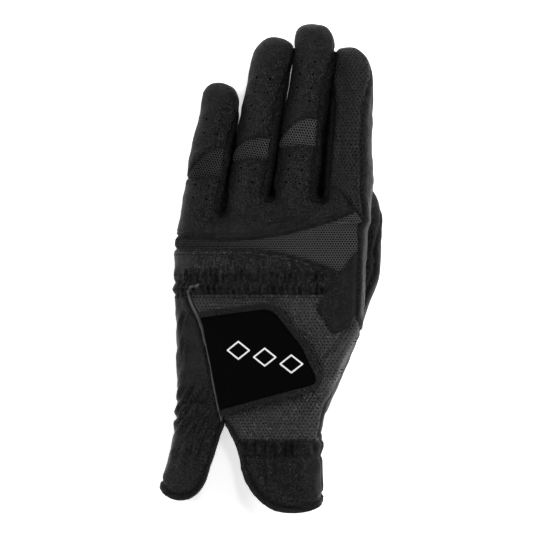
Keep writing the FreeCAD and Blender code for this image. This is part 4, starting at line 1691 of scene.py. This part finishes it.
    def _perforate(self, name: str, obj: bpy.types.Object) -> None:
        """Punches the air holes of a finger's back."""
        digit = self.digit_of(name)
        if digit is None or not name.endswith("_back"):
            return
        cutters = []
        for s, x in ((s, x) for s in digit.spec.holes for x in HOLE_PLACES):
            if (s < digit.first) == ("_base_" in name):
                spot = digit.point(np.array([s]), np.array([x - 0.6 + digit.spec.shift]),
                                   np.array([digit.sizes(np.array([s]))[1][0] - 1.0]))[0]
                bpy.ops.mesh.primitive_cylinder_add(vertices=14, radius=HOLE_RADIUS, depth=9.0)
                cutters.append(bpy.context.object)
                turn = Matrix(digit.tip.axes.tolist()).transposed().to_4x4()
                cutters[-1].data.transform(Matrix.Translation(spot) @ turn)
        if not cutters:
            return
        select_only(cutters[0])
        for cutter in cutters:
            cutter.select_set(True)
        bpy.ops.object.join()
        cutter = bpy.context.object
        apply_modifier(obj, "BOOLEAN", operation="DIFFERENCE", object=cutter, solver="MANIFOLD")
        bpy.data.objects.remove(cutter)
        finish_shading(obj)


STITCH_SHARE = 0.74  # length of a stitch as a share of its pitch


@dataclass(frozen=True)
class StitchSpec:
    """Row of stitches on a panel, at a distance from one of its seams."""

    panel: str
    line: str
    offset: float
    pitch: float = 2.5
    thread: Finish = STITCH


class Stitching:
    """Rows of topstitching on the skin's panels."""

    ROWS = (
        StitchSpec("back_knuckle_leather", "knuckle_line", 1.3),
        StitchSpec("back_knuckle_leather", "knuckle_line", 3.0),
        StitchSpec("back_shirred_leather", "band_line", -1.3),
        StitchSpec("back_shirred_leather", "band_line", -3.0),
        StitchSpec("back_shirred_leather", "shirr_line", 9.6),
        StitchSpec("back_shirred_leather", "shirr_line", 2.8),
        StitchSpec("back_perforated_leather", "shirr_line", -1.3),
        StitchSpec("back_cuff_flap", "shirr_line", -1.3),
        StitchSpec("cuff_flap_binding", "hem_line", -1.5),
        StitchSpec("cuff_back_binding", "hem_line", -1.5),
        StitchSpec("cuff_palm_binding", "hem_line", -1.5),
        StitchSpec("back_cuff_flap", "slit_line", 2.6),
        StitchSpec("slit_edge", "slit_line", 1.0, 2.1, EDGE_THREAD),
    )

    def __init__(self, skin: GloveSkin) -> None:
        """Keeps the skin that is stitched."""
        self.skin = skin

    def build(self) -> None:
        """Makes one piece of stitches for each row."""
        form = self.skin.form
        for i, row in enumerate(self.ROWS):
            level = getattr(form, row.line)
            self._sew(f"Stitches_{row.panel}_{i}", row.panel, lambda p: level(p) - row.offset,
                      row.pitch, row.thread)
        for digit in form.fingers:
            if not digit.spec.insert:
                continue
            name = digit.spec.name
            for i, (half, which, offset) in enumerate((("base", 0, -1.2), ("base", 0, -2.6),
                                                       ("tip", 1, 1.3))):
                self._sew(f"Stitches_{name}_{i}", f"{name}_{half}_back",
                          lambda p: self.skin.past_edge(digit, which, p) - offset, 2.2)

    def _sew(self, name: str, panel: str, level: Field, pitch: float,
             thread: Finish = STITCH) -> None:
        """Makes the stitches of one row.

        Args:
            name: Name of the piece.
            panel: Panel that is stitched.
            level: Field that is zero along the row.
            pitch: Distance between stitches, in millimetres.
            thread: The thread's finish.
        """
        places = []
        for line in self.skin.panels[panel].level_lines(level):
            places += along_line(line, pitch, THREAD_SINK)
        if places:
            obj = capsules(name, places, THREAD, pitch * STITCH_SHARE)
            finish_piece(obj, thread, self.skin.motion(panel))


# ---- patches, pads and elastics -----------------------------------------------------------------
@dataclass(frozen=True)
class PatchSpec:
    """Piece sewn or glued onto the skin, by its outline in the hand's flat frame."""

    node: str
    slot: Slot
    corners: tuple[tuple[float, float], ...]
    radii: tuple[float, ...]
    on_back: bool
    lift: float
    thickness: float
    stitched: float = 0.0


PATCHES = (
    PatchSpec("grip_chevron", Slot.GRIP, ((45.4, 8.0), (43.6, 8.0), (37.9, -1.0), (26.0, -17.9),
                                          (33.9, -30.8), (41.2, -27.4), (44.6, -20.0)),
              (0.5, 0.5, 1.5, 1.2, 1.5, 2.0, 2.0), True, 0.02, 0.55, 0.9),
    PatchSpec("loop_pad", Slot.LOOP, ((-14, -22), (6, -23), (22, -49), (19, -57), (-12, -64)),
              (3.0,) * 5, True, 0.1, 0.7),
    PatchSpec("palm_pad", Slot.GRIP, ((-34, -56), (6, -56), (6, -18), (-34, -6)), (9.0,) * 4,
              False, 0.05, 0.8, 1.3),
    PatchSpec("back_elastic", Slot.ELASTIC, ((-34, -12), (24, -12), (24, 0.5), (-34, 0.5)),
              (1.0,) * 4, True, -2.0, 0.8),
    PatchSpec("cuff_elastic", Slot.ELASTIC, ((-2, -92), (18, -92), (18, -86), (-2, -86)),
              (1.0,) * 4, True, -2.0, 0.8),
    PatchSpec("palm_elastic", Slot.ELASTIC, ((-30, -72), (16, -72), (16, -66), (-30, -66)),
              (1.0,) * 4, False, -2.0, 0.8),
)


class Patch:
    """A piece that follows the skin under or over it."""

    def __init__(self, spec: PatchSpec, skin: GloveSkin) -> None:
        """Keeps the patch's sizes and the skin that carries it."""
        self.spec, self.skin = spec, skin

    def build(self) -> None:
        """Makes the patch and its stitches."""
        spec, form = self.spec, self.skin.form
        outline = fillet(spec.corners, spec.radii)

        def edge(points: Array) -> Array:
            """Distance outside the patch's outline."""
            return signed_distance(form.hand.frame.local(points)[:, :2], outline)

        centres = self.skin.surface.centres()
        height = form.hand.frame.local(centres)[:, 2]
        side = (height > 13.0) if spec.on_back else (height < 9.0) & (height > -3.0)
        surface = self.skin.surface.part(np.flatnonzero(side & (edge(centres) < 4.0)))
        surface.relax(6)
        surface = surface.trimmed(edge)
        surface.points = surface.points + surface.normals() * spec.lift
        uv = form.hand.frame.local(surface.flat)[:, :2]
        obj = surface.object(f"Patch_{spec.node}", uv)
        thicken(obj, spec.thickness, outwards=spec.lift > 0, bevel=0.25 if spec.lift > 0 else 0.0)
        finish_piece(obj, FINISHES[spec.slot], Motion("hand"), [spec.node])
        if spec.stitched:
            places = []
            surface.points = surface.points + surface.normals() * spec.thickness
            for line in surface.level_lines(lambda p: edge(p) + spec.stitched):
                places += along_line(line, 2.3, THREAD_SINK)
            stitches = capsules(f"Stitches_{spec.node}", places, 0.22, 1.7)
            finish_piece(stitches, STITCH, Motion("hand"))


# ---- the closing tab ----------------------------------------------------------------------------
@dataclass(frozen=True)
class TabSpec:
    """Closing tab in the hand's flat frame, in millimetres."""

    corners: tuple[tuple[float, float], ...] = (
        (-31.0, -19.9), (6.4, -15.2), (22.4, -35.5), (31.0, -56.2), (-20.6, -70.6))
    radii: tuple[float, ...] = (0.8, 12.0, 25.0, 6.5, 0.8)
    binding: float = 3.0
    face: float = 1.2
    rim: float = 1.9
    clear: float = 1.9  # height over the hand of its free part
    sewn: float = 0.35  # height over the hand at its sewn edge
    stitched: tuple[float, float] = (2.2, 1.0)  # how far the stitches run from the rim
    hooks: tuple[tuple[float, float], ...] = ((2, -26), (8, -27), (22, -50), (20, -54), (-4, -60))
    diamond: tuple[float, float] = (5.4, 4.2)
    diamond_first: tuple[float, float] = (-11.5, -38.6)
    diamond_step: tuple[float, float] = (13.0, -3.2)
    line: float = 0.95


class Tab:
    """Closing tab: a matte face in a leather binding, with hooks below and embroidery above."""

    def __init__(self, spec: TabSpec, form: GloveForm) -> None:
        """Lays out the tab's sheet over the back of the hand."""
        self.spec, self.form = spec, form
        self.outline = fillet(spec.corners, spec.radii)
        root = np.array([spec.corners[0], spec.corners[-1]])
        self.root = root
        self.inward = unit(np.array([root[0, 1] - root[1, 1], root[1, 0] - root[0, 0]]))
        corners = [root[0] + (root[0] - spec.corners[1]) * 0.4, *spec.corners[1:-1],
                   root[1] + (root[1] - spec.corners[-2]) * 0.25]
        self.open = fillet(corners, spec.radii)
        self.motion = Motion("hand", "tab", self._spot(0.5), self._spot(8.0))

    def _spot(self, inward: float) -> Array:
        """Row-frame point at a distance from the tab's sewn edge."""
        place = self.root.mean(axis=0) + self.inward * inward
        return self.form.hand.frame.row((place[0], place[1], 27.2))

    def _sheet(self, step: float) -> Surface:
        """Underside of the tab, as a grid draped over the hand.

        Args:
            step: Distance between the grid's points, in millimetres.

        Returns:
            A rectangle larger than the tab.
        """
        low, high = self.outline.min(axis=0) - 2, self.outline.max(axis=0) + 2
        count = np.ceil((high - low) / step).astype(int)
        bpy.ops.mesh.primitive_grid_add(x_subdivisions=int(count[0]), y_subdivisions=int(count[1]),
                                        size=2)
        sheet = Surface.of(bpy.context.object)
        flat = low + (sheet.points[:, :2] + 1) / 2 * (high - low)
        away = (flat - self.root[0]) @ self.inward
        spec = self.spec
        lift = spec.sewn + (spec.clear - spec.sewn) * smoothstep(away / 9.0)
        z = self.form.hand.top(flat[:, 0], flat[:, 1]) + lift
        z += 0.12 * ripple(np.c_[flat, 0 * away], 17.0, 5.0)
        sheet.flat = np.c_[flat, np.zeros(len(flat))]
        sheet.points = self.form.hand.frame.row(np.c_[flat, z])
        sheet.relax(6)
        return sheet

    def edge(self, points: Array) -> Array:
        """Distance outside the tab's outline."""
        return signed_distance(points[:, :2], self.outline)

    def rim(self, points: Array) -> Array:
        """Distance outside the outline, leaving out the edge that is sewn down."""
        return signed_distance(points[:, :2], self.open)

    def build(self) -> None:
        """Makes the tab's pieces."""
        spec = self.spec
        whole = self._sheet(0.9).trimmed(self.edge)
        face = whole.trimmed(lambda p: self.rim(p) + spec.binding)
        ring = whole.trimmed(lambda p: -self.rim(p) - spec.binding)
        up = self.form.hand.frame.axes[2]
        for surface, name, node, slot, thickness, bevel in (
                (face, "Tab_face", "tab_face", Slot.MICROFIBRE, spec.face, 0.0),
                (ring, "Tab_binding", "tab_binding", Slot.BINDING, spec.rim, 0.55)):
            if surface.normals()[:, 2].mean() < 0:
                surface.faces = [f[::-1] for f in surface.faces]
            obj = surface.object(name, surface.flat[:, :2])
            thicken(obj, thickness, outwards=True, bevel=bevel)
            finish_piece(obj, FINISHES[slot], self.motion, [node])
        raised = Surface(ring.points + up * spec.rim, ring.faces, ring.flat)
        for i, offset in enumerate(spec.stitched):
            places = []
            for line in raised.level_lines(lambda p: self.rim(p) + offset):
                places += along_line(line, 2.4, 0.02)
            obj = capsules(f"Stitches_tab_{i}", places, THREAD, 1.8)
            finish_piece(obj, STITCH, self.motion)
        self._hooks(whole)
        self._embroider(face, up)

    def _hooks(self, whole: Surface) -> None:
        """Hook pad under the tab."""
        outline = fillet(self.spec.hooks, (3.0,) * 5)
        pad = whole.part(range(len(whole.faces)))
        pad = pad.trimmed(lambda p: signed_distance(p[:, :2], outline))
        pad.points = pad.points - self.form.hand.frame.axes[2] * 0.05
        obj = pad.object("Tab_hooks", pad.flat[:, :2])
        thicken(obj, 0.6)
        finish_piece(obj, FINISHES[Slot.HOOK], Motion("tab"), ["tab_hooks"])

    def _embroider(self, face: Surface, up: Array) -> None:
        """Three outlined diamonds in satin stitch."""
        spec = self.spec
        tree = KDTree(len(face.points))
        for i, p in enumerate(face.flat):
            tree.insert(p, i)
        tree.balance()
        normals = face.normals()
        places = []
        for k in range(3):
            centre = np.array(spec.diamond_first) + np.array(spec.diamond_step) * k
            corners = centre + np.array([(1, 0), (0, 1), (-1, 0), (0, -1)]) * np.array(spec.diamond)
            for a, b in zip(corners, np.roll(corners, -1, axis=0)):
                count = int(np.linalg.norm(b - a) / 0.32)
                across = unit(np.array([a[1] - b[1], b[0] - a[0]]))
                across = unit(across + 0.35 * unit(b - a))
                for i in range(count + 1):
                    flat = a + (b - a) * i / count
                    _, index, _ = tree.find((flat[0], flat[1], 0.0))
                    offset = flat - face.flat[index][:2]
                    spot = face.points[index] + self.form.hand.frame.row((*offset, 0)) \
                        - self.form.hand.frame.origin + up * (spec.face + 0.1)
                    along = self.form.hand.frame.axes.T @ np.array([*across, 0.0])
                    places.append((spot, unit(along - normals[index] * (along @ normals[index])),
                                   normals[index]))
        obj = capsules("Tab_embroidery", places, 0.22, spec.line, sides=6)
        finish_piece(obj, FINISHES[Slot.THREAD], self.motion, ["tab_emblem"])


# ---- stage --------------------------------------------------------------------------------------
@dataclass(frozen=True)
class StageSpec:
    """Floor, camera and lights, in metres and watts."""

    span: float = 0.26675  # width of the view at the glove
    middle: tuple[float, float] = (0.00097, -0.0034)
    distance: float = 1.6
    gamma: float = 0.84
    world: float = 0.15
    lights: tuple[tuple[tuple[float, float, float], float, float], ...] = (
        ((-0.75, 0.35, 0.75), 0.5, 5.0), ((0.75, 0.3, 0.7), 0.5, 7.5),
        ((-0.2, -0.85, 0.7), 0.5, 5.0), ((0.25, 0.9, 0.75), 0.5, 5.0),
        ((0.12, 0.3, 1.3), 0.12, 3.0))  # place, size and power of each


class Stage:
    """Pale floor, soft lights and the camera above."""

    def __init__(self, spec: StageSpec) -> None:
        """Keeps the stage's sizes."""
        self.spec = spec

    def build(self) -> None:
        """Makes the floor, lights, world and camera."""
        spec, scene = self.spec, bpy.context.scene
        bpy.ops.mesh.primitive_plane_add(size=6.0)
        floor = bpy.context.object
        floor.name = "Floor"
        floor.data.materials.append(FLOOR.make())
        for place, size, power in spec.lights:
            bpy.ops.object.light_add(type="AREA", location=place)
            light = bpy.context.object
            light.data.size = size
            light.data.energy = power
            light.rotation_euler = (-Vector(place)).to_track_quat("-Z", "Y").to_euler()
        world = bpy.data.worlds.new("Studio")
        world.use_nodes = True
        world.node_tree.nodes["Background"].inputs["Color"].default_value = (1, 1, 1, 1)
        world.node_tree.nodes["Background"].inputs["Strength"].default_value = spec.world
        scene.world = world
        scene.view_settings.view_transform = "Standard"
        scene.view_settings.gamma = spec.gamma
        bpy.ops.object.camera_add(location=(*spec.middle, spec.distance), rotation=(0, 0, 0))
        camera = bpy.context.object
        camera.data.sensor_width = 36.0
        camera.data.lens = 36.0 * (spec.distance - 0.02) / spec.span
        camera.data.clip_end = 20.0
        scene.camera = camera


def main() -> None:
    """Builds the glove and its stage."""
    form = GloveForm()
    skin = GloveSkin(form)
    skin.build()
    Stitching(skin).build()
    for spec in PATCHES:
        Patch(spec, skin).build()
    Tab(TabSpec(), form).build()
    Stage(StageSpec()).build()
    LOG.info("skin panels: %s", ", ".join(skin.panels))


if __name__ == "__main__":
    logging.basicConfig(level=logging.INFO)
    main()
